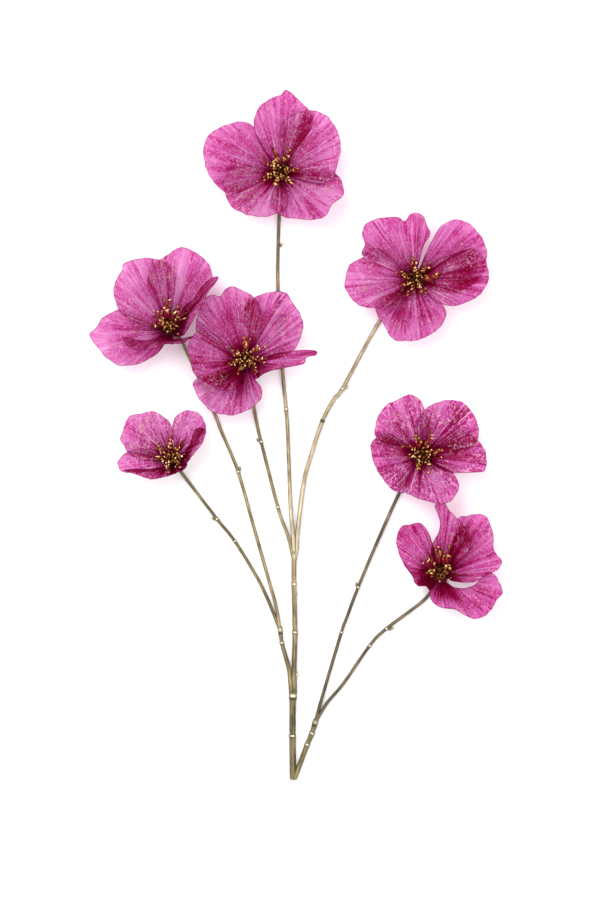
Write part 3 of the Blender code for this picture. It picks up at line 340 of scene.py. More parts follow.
FLOWER_STEMS = {
    "top": {
        "radii": (1.6, 1.3), "tones_along": (0.09, -0.22),
        "line": [(-1.6, -100, 5.4), (-1.9, -90, 6.4), (-2.6, -78, 5.6), (-4.4, -56, 5.0), (-6.7, 4, 4.2),
                 (-8.0, 21, 3.8), (-10.8, 53, 3.0), (-14.4, 116, 2.6), (-14.3, 151, 2.0), (-13.4, 176, 1.5)],
        "nodes": [(-8.0, 21)], "buds": [(-14.3, 151, 1, 0.6)],
    },
    "upper_right": {
        "radii": (1.85, 1.35), "tones_along": (0.06, -0.02),
        "line": [(-1.2, -100, 5.0), (0.4, -90, 4.4), (1.6, -74, 4.6), (6.4, -37, 5.0), (11.2, -19, 5.0),
                 (21.0, 11, 4.6), (31.2, 30, 4.0), (37.0, 37, 3.6), (68, 93, 1.7)],
        "nodes": [(21.0, 11, -1), (37.0, 37)], "buds": [(37.0, 37, 1, 0.9)],
    },
    "upper_left": {
        "radii": (1.4, 1.3), "tones_along": (0.07, 0.02),
        "line": [(-12.8, -155.5, 5.0), (-16.4, -135, 5.2), (-22, -115, 5.2), (-33.6, -74, 5.0), (-46.4, -29, 4.2),
                 (-60, 4, 3.4), (-65.6, 18, 3.0), (-90.4, 73, 1.6)],
        "nodes": [(-46.4, -29)], "buds": [(-46.4, -29, 1, 0.8)],
    },
    "middle": {
        "radii": (1.4, 1.3), "tones_along": (0.1, -0.06),
        "line": [(-2.0, -100, 5.0), (-4.0, -90, 4.4), (-7.0, -79, 4.6), (-14.4, -58, 5.0), (-28, -5, 4.0),
                 (-30.6, 6, 3.2), (-33.6, 22, 2.0)],
        "nodes": [(-14.4, -58), (-28, -5)], "buds": [(-28, -5, -1, 0.8)],
    },
    "left": {
        "radii": (1.4, 1.3), "tones_along": (-0.03, 0.0),
        "line": [(-12.9, -155.5, 5.0), (-20.6, -136, 5.0), (-30.4, -115, 5.0), (-48.8, -85, 4.4), (-63.2, -67, 3.6),
                 (-92.4, -29, 1.6)],
        "nodes": [(-48.8, -85), (-63.2, -67)], "buds": [(-63.2, -67, -1, 0.8)],
    },
    "right": {
        "radii": (1.35, 1.3), "tones_along": (-0.06, 0.0),
        "line": [(15.6, -229.0, 3.4), (20.8, -210, 3.8), (36.2, -158, 4.4), (40.2, -147, 4.4), (49.6, -122, 3.8),
                 (66.4, -82, 2.8), (82.4, -47, 1.6)],
        "nodes": [(36.2, -158), (49.6, -122)], "buds": [(49.6, -122, -1, 0.8)],
    },
    "lower_right": {
        "radii": (1.35, 1.3), "tones_along": (-0.06, 0.0),
        "line": [(15.8, -229.0, 3.4), (25.0, -214, 3.6), (38.4, -198, 3.8), (59.2, -168, 3.6), (72, -155, 3.2),
                 (102.4, -132, 1.6)],
        "nodes": [(59.2, -168), (72, -155)], "buds": [(72, -155, 1, 1.0)],
    },
}


def smooth_path(points, per_span=8):
    """Points along a smooth curve that passes through every given point."""
    given = [Vector(p) for p in points]
    ends = [2 * given[0] - given[1], *given, 2 * given[-1] - given[-2]]
    path = []
    for a, b, c, d in zip(ends, ends[1:], ends[2:], ends[3:]):
        for i in range(per_span):
            t = i / per_span
            bend = 2 * a - 5 * b + 4 * c - d
            path.append((2 * b + (c - a) * t + bend * t**2 + (3 * b - a - 3 * c + d) * t**3) / 2)
    return [*path, given[-1]]


def lengths_along(path):
    """How far along a path each of its points lies."""
    lengths = [0.0]
    for a, b in zip(path, path[1:]):
        lengths.append(lengths[-1] + (b - a).length)
    return lengths


def spaced(path, count):
    """The same path as evenly spaced points."""
    lengths = lengths_along(path)
    places = []
    at = 0
    for i in range(count):
        wanted = lengths[-1] * i / (count - 1)
        while at < len(path) - 2 and lengths[at + 1] < wanted:
            at += 1
        share = (wanted - lengths[at]) / max(lengths[at + 1] - lengths[at], 1e-9)
        places.append(path[at].lerp(path[at + 1], min(share, 1.0)))
    return places


def nearest_on(path, spot):
    """Which inner point of a path passes nearest to a point of the table."""
    return min(range(1, len(path) - 1), key=lambda i: (path[i].xy - Vector(spot[:2])).length)


def heading(turn):
    return Vector((math.cos(turn), math.sin(turn), 0))


def held(value):
    """A value kept between 0 and 1."""
    return min(1.0, max(0.0, value))


def hub_of(bloom, height=0.0):
    """The point on a bloom's upright middle line at one height."""
    return Vector((*bloom["place"], height)) + Vector((*bloom["hub"], 0))


def put(name, data, place=(0, 0, 0)):
    """A new object in the scene."""
    made = bpy.data.objects.new(name, data)
    made.location = place
    bpy.context.scene.collection.objects.link(made)
    return made


def meshed(bm, name, finish):
    """A bmesh as a new object."""
    mesh = bpy.data.meshes.new(name)
    bm.to_mesh(mesh)
    bm.free()
    mesh.materials.append(finish)
    return put(name, mesh)


def finished(bm, name, finish, material_slot, *nodes):
    """A bmesh in millimetres as a piece that rides on the part and stands for its nodes."""
    bmesh.ops.scale(bm, vec=(MM, MM, MM), verts=bm.verts)
    piece = meshed(bm, name, finish)
    piece.data.shade_smooth()
    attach(piece, "root")
    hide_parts(*nodes)
    return piece


# Finishes

class Flow:
    """What flows out of a shader node. Sums and patterns of it are further nodes."""

    def __init__(self, tree, socket):
        self.tree, self.socket = tree, socket

    def math(self, operation, *others):
        return add(self.tree, "Math", dict(enumerate((self, *others))), operation=operation)

    def __add__(self, other):
        return self.math("ADD", other)

    def __sub__(self, other):
        return self.math("SUBTRACT", other)

    def __mul__(self, other):
        return self.math("MULTIPLY", other)

    def stretched(self, scale, turn=(0, 0, 0)):
        """A pattern's coordinates, turned and then scaled."""
        return add(self.tree, "Mapping", {"Vector": self, "Rotation": turn, "Scale": scale})

    def cloud(self, scale, detail=3.0, roughness=0.5):
        """Soft noise from 0 to 1."""
        return add(self.tree, "TexNoise", {"Vector": self, "Scale": scale, "Detail": detail, "Roughness": roughness})

    def between(self, low, high, from_value=0.0, to_value=1.0):
        """A smooth step: from_value below low, to_value above high."""
        return add(self.tree, "MapRange", {"Value": self, "From Min": low, "From Max": high, "To Min": from_value,
                                           "To Max": to_value}, interpolation_type="SMOOTHSTEP")

    def crackle(self, scale, width):
        """Thin winding lines, drawn where a cloud passes its own middle value."""
        return (self.cloud(scale, 1.0, 0.4) - 0.5).math("ABSOLUTE").between(width, width * 0.25)

    def shades(self, stops):
        """A ramp of colours over a value."""
        ramp = add(self.tree, "ValToRGB", {0: self})
        elements = ramp.socket.node.color_ramp.elements
        while len(elements) < len(stops):
            elements.new(0.5)
        for element, (place, colour) in zip(elements, stops):
            element.position = place
            element.color = (*colour, 1)
        return ramp

    def blend(self, base, tint):
        """A colour laid over another by a share."""
        inputs = {0: self}
        for place, colour in ((6, base), (7, tint)):
            inputs[place] = colour if isinstance(colour, Flow) else (*colour, 1)
        return add(self.tree, "Mix", inputs, 2, data_type="RGBA")

    def bumped(self, strength, distance):
        return add(self.tree, "Bump", {"Height": self, "Strength": strength, "Distance": distance})


def feed(node, inputs):
    """Sets a node's inputs, each to a value or to what flows out of another node."""
    for key, value in inputs.items():
        if isinstance(value, Flow):
            node.id_data.links.new(value.socket, node.inputs[key])
        else:
            node.inputs[key].default_value = value


def add(tree, kind, inputs=None, output=0, **settings):
    """What flows out of a new shader node."""
    made = tree.nodes.new("ShaderNode" + kind)
    for key, value in settings.items():
        setattr(made, key, value)
    feed(made, inputs or {})
    return Flow(tree, made.outputs[output])


def own(tree, name, output=2):
    """A piece's own attribute as a number, or as a vector where the output is 1."""
    return add(tree, "Attribute", output=output, attribute_name=name)


def own_place(tree):
    return add(tree, "TexCoord", output="Object")


def new_finish(name):
    finish = bpy.data.materials.new(name)
    finish.use_nodes = True
    return finish, finish.node_tree, finish.node_tree.nodes["Principled BSDF"]


def petal_cloth(name, depth, webbed, throat, fineness):
    """Sheer dyed cloth: a crimson throat, deepened and darkened in folds and overlaps by painted shade, a web of pale
    fibres and a little glitter.
    """
    finish, tree, shader = new_finish("petal cloth " + name)
    pleats = add(tree, "UVMap", uv_map="pleats")
    reach = add(tree, "SeparateXYZ", {0: pleats}, 1)
    hem, out, fold, painted_shade, glint = (own(tree, key) for key in ("hem", "out", "fold", "painted_shade", "glint"))
    spot = own_place(tree)
    glint *= spot.cloud(130, 3.0).between(0.38, 0.60, 0.35, 1.1)

    # Dye and painted shade: palest at the rim, deeper in the throat (partly painted shade), darker in folds (painted
    # shade)
    blotches = spot.cloud(45, 1.5)
    ribs = pleats.stretched((9, 0.9, 1)).cloud(1.0, 3.0, 0.55)
    veins = pleats.stretched((23, 1.8, 1)).cloud(1.0, 1.0, 0.6)
    patterns_and_fold_shade = (ribs - 0.5 + fold * 0.42) * reach.between(0.4, 0.95, 1.0, 0.45)
    # Blotches and veins are dye; the darkening in glittering patches, which lie mostly over overlaps, is painted
    # shade
    patterns_and_fold_shade = (patterns_and_fold_shade + (blotches - 0.5) * 0.55 + (veins - 0.5) * 0.65 - glint * 0.25).math("MAXIMUM", -0.24)
    dye_and_shade = patterns_and_fold_shade + (reach * 0.25 + out.between(3.0 * throat, 22.0 * throat, -depth, 0.5 - depth)) - painted_shade
    colour = dye_and_shade.shades([
        (0.05, (0.12, 0.001, 0.005)), (0.24, (0.24, 0.001, 0.027)), (0.44, (0.405, 0.009, 0.14)),
        (0.66, (0.54, 0.105, 0.38)), (0.95, (0.70, 0.41, 0.68)),
    ])
    colour = veins.between(0.44, 0.30, 0.0, 0.4).blend(colour, (0.28, 0.003, 0.09))
    # Thin dark crinkle lines: painted shadows of the crinkled cloth
    crinkle_shadows = spot.crackle(fineness * 0.8, 0.03)
    colour = (crinkle_shadows * (0.4 * webbed**2)).blend(colour, (0.24, 0.003, 0.08))

    # The pale web and the grains of glitter, both strongest where the dye and painted shade are lightest
    open_cloth = dye_and_shade.between(0.28, 0.68)
    web = spot.stretched((1, 0.6, 0.8), (0, 0, 0.7)).crackle(fineness, 0.034)
    web = web.math("MAXIMUM", pleats.stretched((12, 2.0, 1)).crackle(1.0, 0.022))
    sparks = glint * 0.35 + spot.cloud(42, 2.0)
    web = web * sparks.between(0.36, 0.60, 0.5, 1.0) * open_cloth
    grains = add(tree, "TexVoronoi", {"Vector": spot, "Scale": 820}, "Color")
    red, green = (add(tree, "SeparateColor", {0: grains}, part) for part in (0, 1))
    metal = red.shades([(0.2, (0.50, 0.26, 0.80)), (0.45, (0.98, 0.62, 0.86)), (0.65, (0.95, 0.74, 0.42)),
                        (0.85, (0.62, 0.72, 0.36))])
    shine = sparks.between(0.52, 0.66, 0.1, 0.9).blend((0.93, 0.66, 0.86), metal)
    colour = (web * webbed).blend(colour, shine)
    lit = green.between(0.90, 0.94, 0.0, 0.3) + green.between(0.72, 0.84) * glint
    colour = (lit * open_cloth.math("MAXIMUM", glint)).blend(colour, shine)
    # A dark line along the rim: partly the cut edge, partly painted shade where the rolled hem is seen edge on
    colour = hem.between(0.9, 0.3, 0.0, 0.8).blend(colour, (0.26, 0.012, 0.12))

    # The weave, and how much light comes through it
    normal = (ribs * 2.5 + (veins + web * 0.5)).bumped(0.8, 0.001)
    feed(shader, {"Base Color": colour, "Roughness": 0.5, "Normal": normal, "Specular IOR Level": 0.06,
                  "Specular Tint": (0.9, 0.2, 0.5, 1)})
    through = add(tree, "BsdfTranslucent", {"Color": colour, "Normal": normal})
    cloth = add(tree, "MixShader", {0: 0.42, 1: Flow(tree, shader.outputs[0]), 2: through})
    holes = add(tree, "BsdfTransparent", {"Color": (0.93, 0.28, 0.68, 1)})
    sheer = add(tree, "MixShader", {0: dye_and_shade.between(0.2, 0.7, 0.03, 0.44), 1: cloth, 2: holes})
    feed(tree.nodes["Material Output"], {0: sheer})
    return finish


def thread_red():
    """Dyed stamen thread, darker at the root."""
    finish, tree, shader = new_finish("crimson thread")
    straight = own(tree, "straight", 1)
    along = add(tree, "SeparateXYZ", {0: straight}, 2)
    colour = along.between(0.0, 13.0).shades([
        (0.0, (0.03, 0.002, 0.004)), (0.5, (0.10, 0.004, 0.010)), (1.0, (0.27, 0.008, 0.028)),
    ])
    streaks = straight.stretched((3.0, 3.0, 0.35)).cloud(1.0)
    colour = streaks.between(0.4, 0.8, 0.0, 0.4).blend(colour, (0.42, 0.01, 0.035))
    colour = own(tree, "tone_along").blend(colour, (0.05, 0.002, 0.007))
    feed(shader, {"Base Color": colour, "Roughness": 0.45, "Specular IOR Level": 0.12,
                  "Normal": streaks.bumped(0.3, 0.0002)})
    return finish


def bead_gold(name, tones):
    """Painted and gilded bead, its tone set bead by bead and its top brightened as a painted highlight."""
    finish, tree, shader = new_finish(name)
    toned = own_place(tree).cloud(900, 3.0, 0.6)
    colour = (own(tree, "tone") + (toned - 0.5) * 0.5).shades(tones)
    feed(shader, {"Base Color": colour, "Roughness": 0.32, "Metallic": 0.6, "Specular IOR Level": 0.1,
                  "Normal": toned.bumped(0.4, 0.0003)})
    return finish


def twig_paint(name, dark, middle, pale):
    """Brushed metallic paint over a moulded twig: streaks along it, fine rings, pale rubbed places that are partly a
    painted highlight, and painted shade on its sides.
    """
    finish, tree, shader = new_finish(name)
    rubbed_and_highlight, facing_light, tone_along = (own(tree, key) for key in ("rubbed_and_highlight", "facing_light", "tone_along"))
    spot = own_place(tree)
    streaks = own(tree, "straight", 1).stretched((0.9, 0.9, 0.09)).cloud(1.0, 4.0, 0.65)
    grit = spot.cloud(1400, 2.0)
    value = streaks * 0.75 + spot.cloud(55, 3.0) * 0.35 + tone_along
    colour = value.shades([(0.40, dark), (0.56, middle), (0.74, pale)])
    # Sides and underside turn towards the dark paint: painted shade
    colour = facing_light.between(0.75, 0.1, 0.0, 0.8).blend(colour, dark)
    # Cream at the pale places on the upper side: rubbed paint and a painted highlight
    cream = rubbed_and_highlight * grit.between(0.30, 0.55, 0.5, 1.0)
    colour = cream.blend(colour, (0.88, 0.80, 0.64))
    colour = rubbed_and_highlight.between(-0.1, -0.7).blend(colour, (0.030, 0.020, 0.008))
    feed(shader, {"Base Color": colour, "Roughness": 0.42, "Metallic": 0.25,
                  "Normal": (streaks + grit * 0.4).bumped(0.45, 0.0006)})
    return finish


# Petals

def petal_edge(rim, root, seed):
    """The rim as a softly ragged path whose ends leave the hub cleanly, and the two corners of the claw."""
    edge = smooth_path(rim, RIM_STEPS)
    for spot in edge[6:-6]:
        out = (spot.xy - root.xy).normalized()
        spot.xy += out * sum(height * noise.noise(spot * rate + UP * seed) for height, rate in RAGGED)
    claws = []
    for end in (edge[0], edge[-1]):
        out = (end.xy - root.xy).normalized()
        claws.append(Vector((*(root.xy + out * CLAW), root.z)))
        end.z = min(end.z, root.z + RIM_START_RISE)
        if (end.xy - root.xy).length < RIM_START:
            end.xy = root.xy + out * RIM_START
    return edge, claws


def keep_inside(verts, outline):
    """Brings back the points of a net that have strayed over its outline."""
    x, y = (np.array([vert.co[axis] for vert in verts])[:, None] for axis in (0, 1))
    (x1, y1), (x2, y2) = outline.T, np.roll(outline, -1, axis=0).T
    level = np.where(y1 == y2, 1.0, y2 - y1)
    passed = ((y1 > y) != (y2 > y)) & (x < x1 + (x2 - x1) * (y - y1) / level)
    outside = np.flatnonzero(passed.sum(axis=1) % 2 == 0)
    gaps = np.hypot(x[outside] - x1, y[outside] - y1)
    for i, nearest in zip(outside, outline[gaps.argmin(axis=1)] if len(outside) else ()):
        near = Vector(nearest)
        verts[i].co.xy = near + (near - verts[i].co.xy) * TURNED_IN


def spread_net(bm, edge, claws):
    """Stretches a square net over a petal: its foot on the claw, and its other three sides round the rim."""
    whole = spaced(edge, RIM_POINTS + 1)
    corner = round(RIM_POINTS * SIDE_SHARE)
    left = spaced([claws[0], *whole[: corner + 1]], ALONG + 1)
    right = spaced([claws[1], *reversed(whole[RIM_POINTS - corner :])], ALONG + 1)
    top = spaced(whole[corner : RIM_POINTS + 1 - corner], ACROSS + 1)
    foot = spaced(claws, ACROSS + 1)
    for vert in bm.verts:
        across, along = vert.co.x + 0.5, vert.co.y + 0.5
        i, j = round(across * ACROSS), round(along * ALONG)
        corners = foot[0].lerp(foot[-1], across).lerp(top[0].lerp(top[-1], across), along)
        vert.co = foot[i].lerp(top[i], along) + left[j].lerp(right[j], across) - corners
    inner = [vert for vert in bm.verts if not vert.is_boundary]
    outline = np.array([spot[:2] for spot in (claws[0], *edge, claws[1])])
    for _ in range(SETTLING):
        bmesh.ops.smooth_vert(bm, verts=inner, factor=0.5, use_axis_x=True, use_axis_y=True)
        keep_inside(inner, outline)


def raise_sheet(bm, edge, root):
    """Curves the sheet up from its claw. It returns each point's reach, its turn and its distance from the rim."""
    spots = np.array([vert.co[:2] for vert in bm.verts])
    rim = np.array([p[:] for p in edge])
    gaps = np.maximum(np.linalg.norm(spots[:, None] - rim[None, :, :2], axis=2), 1e-3)
    near = gaps**-RIM_PULL
    rim_height = near @ rim[:, 2] / near.sum(axis=1)
    away = spots - np.array(root[:2])
    far = np.linalg.norm(away, axis=1)
    gap = gaps.min(axis=1)
    out = np.maximum(far - FLAT_ROOT, 0)
    height = root.z + (rim_height - root.z) * (out / (out + gap)) ** CUP
    for vert, z in zip(bm.verts, height):
        vert.co.z = z
    middle = away[far > np.median(far)].mean(axis=0)
    turn = np.arctan2(middle[0] * away[:, 1] - middle[1] * away[:, 0], away @ middle)
    return far / (far + gap), turn, gap


def crease(bm, reach, turn, rim_gap, seed):
    """Radial pleats, a waved and slightly rolled rim, and the crinkle of the cloth. It returns each point's fold."""
    folds = []
    for vert, far, angle, gap in zip(bm.verts, reach, turn, rim_gap):
        broad = noise.noise(Vector((angle * BROAD_RATE, far * 0.9, seed)))
        fine = noise.noise(Vector((angle * FINE_RATE, far * 1.6, seed + 9)))
        wave = noise.noise(Vector((angle * WAVE_RATE, 3.0, seed)))
        crinkle = noise.noise(vert.co * 0.3 + Vector((0, 0, seed)))
        lift = BROAD_FOLD * far * (1 - far) * broad + FINE_FOLD * far * (1 - 0.6 * far) * fine
        lift += WAVED_RIM * far**5 * wave
        lift += CRINKLE * crinkle - ROLLED_HEM * far * max(0.0, 1 - gap / HEM_WIDTH) ** 2
        vert.co.z += lift * held((far - 0.15) * 5)
        folds.append(broad + 0.7 * fine + 0.3 * crinkle)
    return folds


def height_over(sheets, spot):
    """The height of the topmost sheet over a point of the table, or zero where there is none."""
    hits = [sheet.ray_cast(Vector((spot[0], spot[1], ABOVE_ALL)), -UP)[0] for sheet in sheets]
    return max((hit.z for hit in hits if hit), default=0.0)


def lay_over(bm, lower, hub):
    """Lifts the sheet clear of the petals below it. It returns each point's painted shade, where it lies over one."""
    doubled_shade = []
    for vert in bm.verts:
        under = height_over(lower, vert.co)
        doubled_shade.append(DOUBLED_SHADE if under else 0.0)
        if under and (vert.co.xy - hub.xy).length > FLAT_ROOT:
            vert.co.z = max(vert.co.z, under + LAID_APART)
    return doubled_shade


def glitter(bloom, spot, far, doubled):
    """How much a point of the cloth glitters."""
    home = Vector(bloom["place"])
    nearest = max(1 - (spot - home - Vector((x, y))).length / reach for x, y, reach in bloom["glints"])
    return max(DOUBLED_GLINT * held(far / THROAT - 1) if doubled else 0.0, min(nearest, MOST_GLINT))


def cut_petal(bloom, layer, rim, lower, seed):
    """One petal as a bmesh. Its turn and reach are a UV map, and its folds and distances are attributes."""
    root = Vector((*bloom["hub"], LOWEST_ROOT + layer * LAYER_RISE))
    edge, claws = petal_edge(rim, root, seed)
    bm = bmesh.new()
    bmesh.ops.create_grid(bm, x_segments=ACROSS, y_segments=ALONG, size=0.5)
    spread_net(bm, edge, claws)
    reach, turn, rim_gap = raise_sheet(bm, edge, root)
    folds = crease(bm, reach, turn, rim_gap, seed)
    bmesh.ops.translate(bm, vec=(*bloom["place"], 0), verts=bm.verts)
    hub = hub_of(bloom)
    doubled_shade = lay_over(bm, lower, hub)
    bmesh.ops.recalc_face_normals(bm, faces=bm.faces)
    bm.verts.index_update()
    out = [(vert.co.xy - hub.xy).length for vert in bm.verts]
    # Painted shade: a layer's own share, and more where it lies over another petal
    painted_shades = [bloom["painted_shade"].get(layer, 0.0) + more for more in doubled_shade]
    lit = [glitter(bloom, vert.co.xy, far, more) for vert, far, more in zip(bm.verts, out, doubled_shade)]
    for name, values in (("hem", rim_gap), ("out", out), ("fold", folds), ("painted_shade", painted_shades), ("glint", lit)):
        kept = bm.verts.layers.float.new(name)
        for vert in bm.verts:
            vert[kept] = values[vert.index]
    pleats = bm.loops.layers.uv.new("pleats")
    for face in bm.faces:
        for loop in face.loops:
            i = loop.vert.index
            loop[pleats].uv = (turn[i] + seed, reach[i])
    return bm


def petals(name, bloom):
    """A bloom's petals, laid one over another from the lowest up, round their hub."""
    cloth = petal_cloth(name, *bloom["cloth"])
    sheets = []
    for layer, rim in enumerate(PETALS[name]):
        bm = cut_petal(bloom, layer, rim, sheets, seed=7.3 * layer + 1.7 * len(name))
        sheets.append(BVHTree.FromBMesh(bm))
        piece = finished(bm, f"petal_{name}_{layer + 1}", cloth, "petal_fabric", "petals_" + name)
        wall = piece.modifiers.new("Cloth thickness", "SOLIDIFY")
        wall.thickness = CLOTH * MM
        wall.offset = 0
    finished(turned(HUB_PROFILE, hub_of(bloom)), "hub_" + name, cloth, "petal_fabric", "petals_" + name)
    return sheets


# Turned and drawn pieces

def turned(profile, place):
    """A closed turned shape from (radius, height) pairs."""
    bm = bmesh.new()
    line = [bm.verts.new((radius, 0, height)) for radius, height in profile]
    edges = [bm.edges.new(pair) for pair in zip(line, line[1:])]
    bmesh.ops.spin(bm, geom=line + edges, cent=(0, 0, 0), axis=(0, 0, 1), angle=math.tau, steps=TURNED_SIDES,
                   use_merge=True)
    bmesh.ops.remove_doubles(bm, verts=bm.verts, dist=0.001)
    bmesh.ops.recalc_face_normals(bm, faces=bm.faces)
    bmesh.ops.translate(bm, vec=place, verts=bm.verts)
    return bm


def cut_flat(bm, place, way):
    """Cuts off what lies beyond a plane, and closes the cut."""
    cut = bmesh.ops.bisect_plane(bm, geom=bm.verts[:] + bm.edges[:] + bm.faces[:], plane_co=place, plane_no=way,
                                 clear_outer=True)
    bmesh.ops.holes_fill(bm, edges=[part for part in cut["geom_cut"] if isinstance(part, bmesh.types.BMEdge)])


def new_tubes():
    bm = bmesh.new()
    bm.verts.layers.float_vector.new("straight")
    for name in ("rubbed_and_highlight", "facing_light", "tone_along"):
        bm.verts.layers.float.new(name)
    return bm


def draw_tube(bm, path, radii, sides=10, flat=1.0, rubs_and_highlights=(), tones_along=(0.0, 0.0)):
    """Draws a ring along a path as one closed tube.

    Rubs are pale places, or dark ones, as (length along, reach, strength); the pale ones stay on the upper side, as
    rubbed paint and a painted highlight. Tones along are how pale its two ends are.
    """
    straight = bm.verts.layers.float_vector["straight"]
    rubbed_and_highlight, facing_light, toned = (bm.verts.layers.float[name] for name in ("rubbed_and_highlight", "facing_light", "tone_along"))
    ring = bmesh.ops.create_circle(bm, cap_ends=True, segments=sides, radius=1)["verts"]
    for vert in ring:
        vert[straight] = vert.co
    cap = ring[0].link_faces[0]
    first_way = path[1] - path[0]
    side = first_way.cross(UP if abs(first_way.normalized().z) < 0.8 else Vector((1, 0, 0))).normalized()
    at = 0.0
    for i, (spot, radius) in enumerate(zip(path, radii)):
        if i:
            inner = cap
            drawn = bmesh.ops.extrude_face_region(bm, geom=[cap])["geom"]
            ring = [part for part in drawn if isinstance(part, bmesh.types.BMVert)]
            cap = next(part for part in drawn if isinstance(part, bmesh.types.BMFace) and len(part.verts) == sides)
            if i > 1:
                bm.faces.remove(inner)
            at += (spot - path[i - 1]).length
        way = (path[min(i + 1, len(path) - 1)] - path[max(i - 1, 0)]).normalized()
        side = (side - way * side.dot(way)).normalized()
        up = side.cross(way)
        for vert in ring:
            turn = Vector(vert[straight]).xy.normalized()
            vert[straight] = Vector((turn.x * radius, turn.y * radius, at))
            out = side * turn.x + up * turn.y * flat
            rub_and_highlight = sum(strength * (1 - min(abs(at - place) / reach, 1) ** 2) for place, reach, strength in rubs_and_highlights)
            # How far the surface faces up towards the lamps; twig paint darkens what faces away as painted shade
            vert[facing_light] = out.z
            # Pale rubs are kept to the upper side, as rubbed paint and a painted highlight; dark ones go all round
            vert[rubbed_and_highlight] = rub_and_highlight * held((out.z - 0.55) * 3) if rub_and_highlight > 0 else rub_and_highlight
            # A tone that changes evenly from one end of the tube to the other
            vert[toned] = tones_along[0] + (tones_along[1] - tones_along[0]) * i / (len(path) - 1)
            vert.co = spot + out * radius
            vert.co.z = max(vert.co.z, 0.0)


def tubes_done(bm):
    bmesh.ops.recalc_face_normals(bm, faces=bm.faces)
    return bm


# Stamens and centre

def clear_height(sheets, spot, apart):
    """How high a thread passes over the petals at a point and beside it."""
    steps = ((0, 0), (THREAD_BESIDE, 0), (-THREAD_BESIDE, 0), (0, THREAD_BESIDE), (0, -THREAD_BESIDE))
    around = [(spot.x + dx, spot.y + dy) for dx, dy in steps]
    return max(height_over(sheets, place) for place in around) + apart


def thread_path(root, tip, sheets, bend=Vector((0, 0, 0)), steps=7):
    """A filament's line: it rises from its root, arches outwards, and clears the petals under it."""
    rise = Vector((0, 0, (tip - root).length * ARCH))
    path = []
    for i in range(steps + 1):
        t = i / steps
        spot = root.lerp(tip, t) + (rise + bend) * 4 * t * (1 - t) * 0.6
        least = clear_height(sheets, spot, THREAD_CLEAR)
        if spot.z < least:
            if least - spot.z > MOST_CLIMB + CLIMB_OUTWARDS * t and i > 1:
                break
            spot.z = least
        path.append(spot)
    return path


def bead(bm, place, way, radius, draw, length):
    """A small lumpy bead, drawn out and bent along its own way, brightest on top as a painted highlight."""
    tones = bm.verts.layers.float["tone"]
    made = bmesh.ops.create_uvsphere(bm, u_segments=8, v_segments=6, radius=radius)["verts"]
    bend, tone = draw.uniform(-BEAD_BEND, BEAD_BEND), draw.random()
    bmesh.ops.scale(bm, vec=(1, draw.uniform(*BEAD_FLAT), length), verts=made)
    for vert in made:
        vert.co.x += bend * vert.co.z**2 / radius
        vert.co *= draw.uniform(*BEAD_LUMPS)
    bmesh.ops.rotate(bm, matrix=way.to_track_quat("Z", "Y").to_matrix(), verts=made)
    # Each bead's tone is random, and its upper side is brightened as a painted highlight
    for vert in made:
        vert[tones] = 0.45 * tone + 0.5 * held(vert.co.z / radius) ** 5
    bmesh.ops.translate(bm, vec=place, verts=made)


def new_beads():
    bm = bmesh.new()
    bm.verts.layers.float.new("tone")
    return bm


def stamens(name, bloom, sheets, thread, gold):
    """Rings of leaning filaments with bead tips, and the stray bare ends."""
    draw = random.Random("stamens " + name)
    foot = hub_of(bloom, STAMEN_FOOT)
    lean = Vector((*bloom["lean"], 0))
    tufts = [math.tau * (i + draw.uniform(-TUFT_SCATTER, TUFT_SCATTER)) / TUFTS for i in range(TUFTS)]
    threads, tips = new_tubes(), new_beads()
    for ring in RINGS:
        for i in range(ring["count"]):
            turn = math.tau * (i + draw.uniform(-RING_SCATTER, RING_SCATTER)) / ring["count"]
            turn += TUFT_PULL * min((math.remainder(place - turn, math.tau) for place in tufts), key=abs)
            spread = math.radians(draw.uniform(*ring["lean"]))
            way = heading(turn)
            length = draw.uniform(*ring["length"]) * (1 + 0.035 * way.dot(lean))
            root = foot + way * ring["root"] + lean * HEAD_SHIFT
            tip = root + way * length * bloom["gather"] * math.sin(spread) + UP * length * math.cos(spread)
            if lean.length:
                tip += lean * (0.75 + 0.25 * way.dot(lean.normalized())) * draw.uniform(0.35, 1.0)
            bend = way.cross(UP) * draw.uniform(-SIDE_BEND, SIDE_BEND)
            path = thread_path(root, tip, sheets, bend)
            if len(path) < 3 or (path[-1] - root).length < SHORTEST_FILAMENT:
                continue
            draw_tube(threads, path, [FILAMENT_RADIUS * draw.uniform(0.9, 1.15)] * len(path), 5)
            ahead = (path[-1] - path[-2]).normalized()
            size = TIP_RADIUS * draw.uniform(0.7, 1.2)
            lift = UP * max(0, clear_height(sheets, path[-1], size) - path[-1].z)
            tilt = (ahead + Vector([draw.uniform(-0.5, 0.5) for _ in range(3)])).normalized()
            bead(tips, path[-1] + ahead * size * 0.6 + lift, tilt, size, draw, draw.uniform(*TIP_LENGTHS))
    place = Vector((*bloom["place"], 0))
    for stray in bloom["strays"]:
        end = place + Vector(stray)
        way = ((end - foot) * ON_TABLE).normalized()
        path = thread_path(foot + way * STRAY_RING, end, sheets, steps=12)
        radii = [STRAY_RADIUS * (1 - 0.5 * i / len(path)) for i in range(len(path))]
        draw_tube(threads, path, radii, 6, tones_along=(1, 0.7))
    finished(tubes_done(threads), "filaments_" + name, thread, "stamen_thread", "stamens_" + name)
    finished(tips, "tips_" + name, gold, "gold_bead", "stamens_" + name)
    finished(turned(DISC_PROFILE, hub_of(bloom)), "disc_" + name, thread, "stamen_thread", "stamens_" + name)


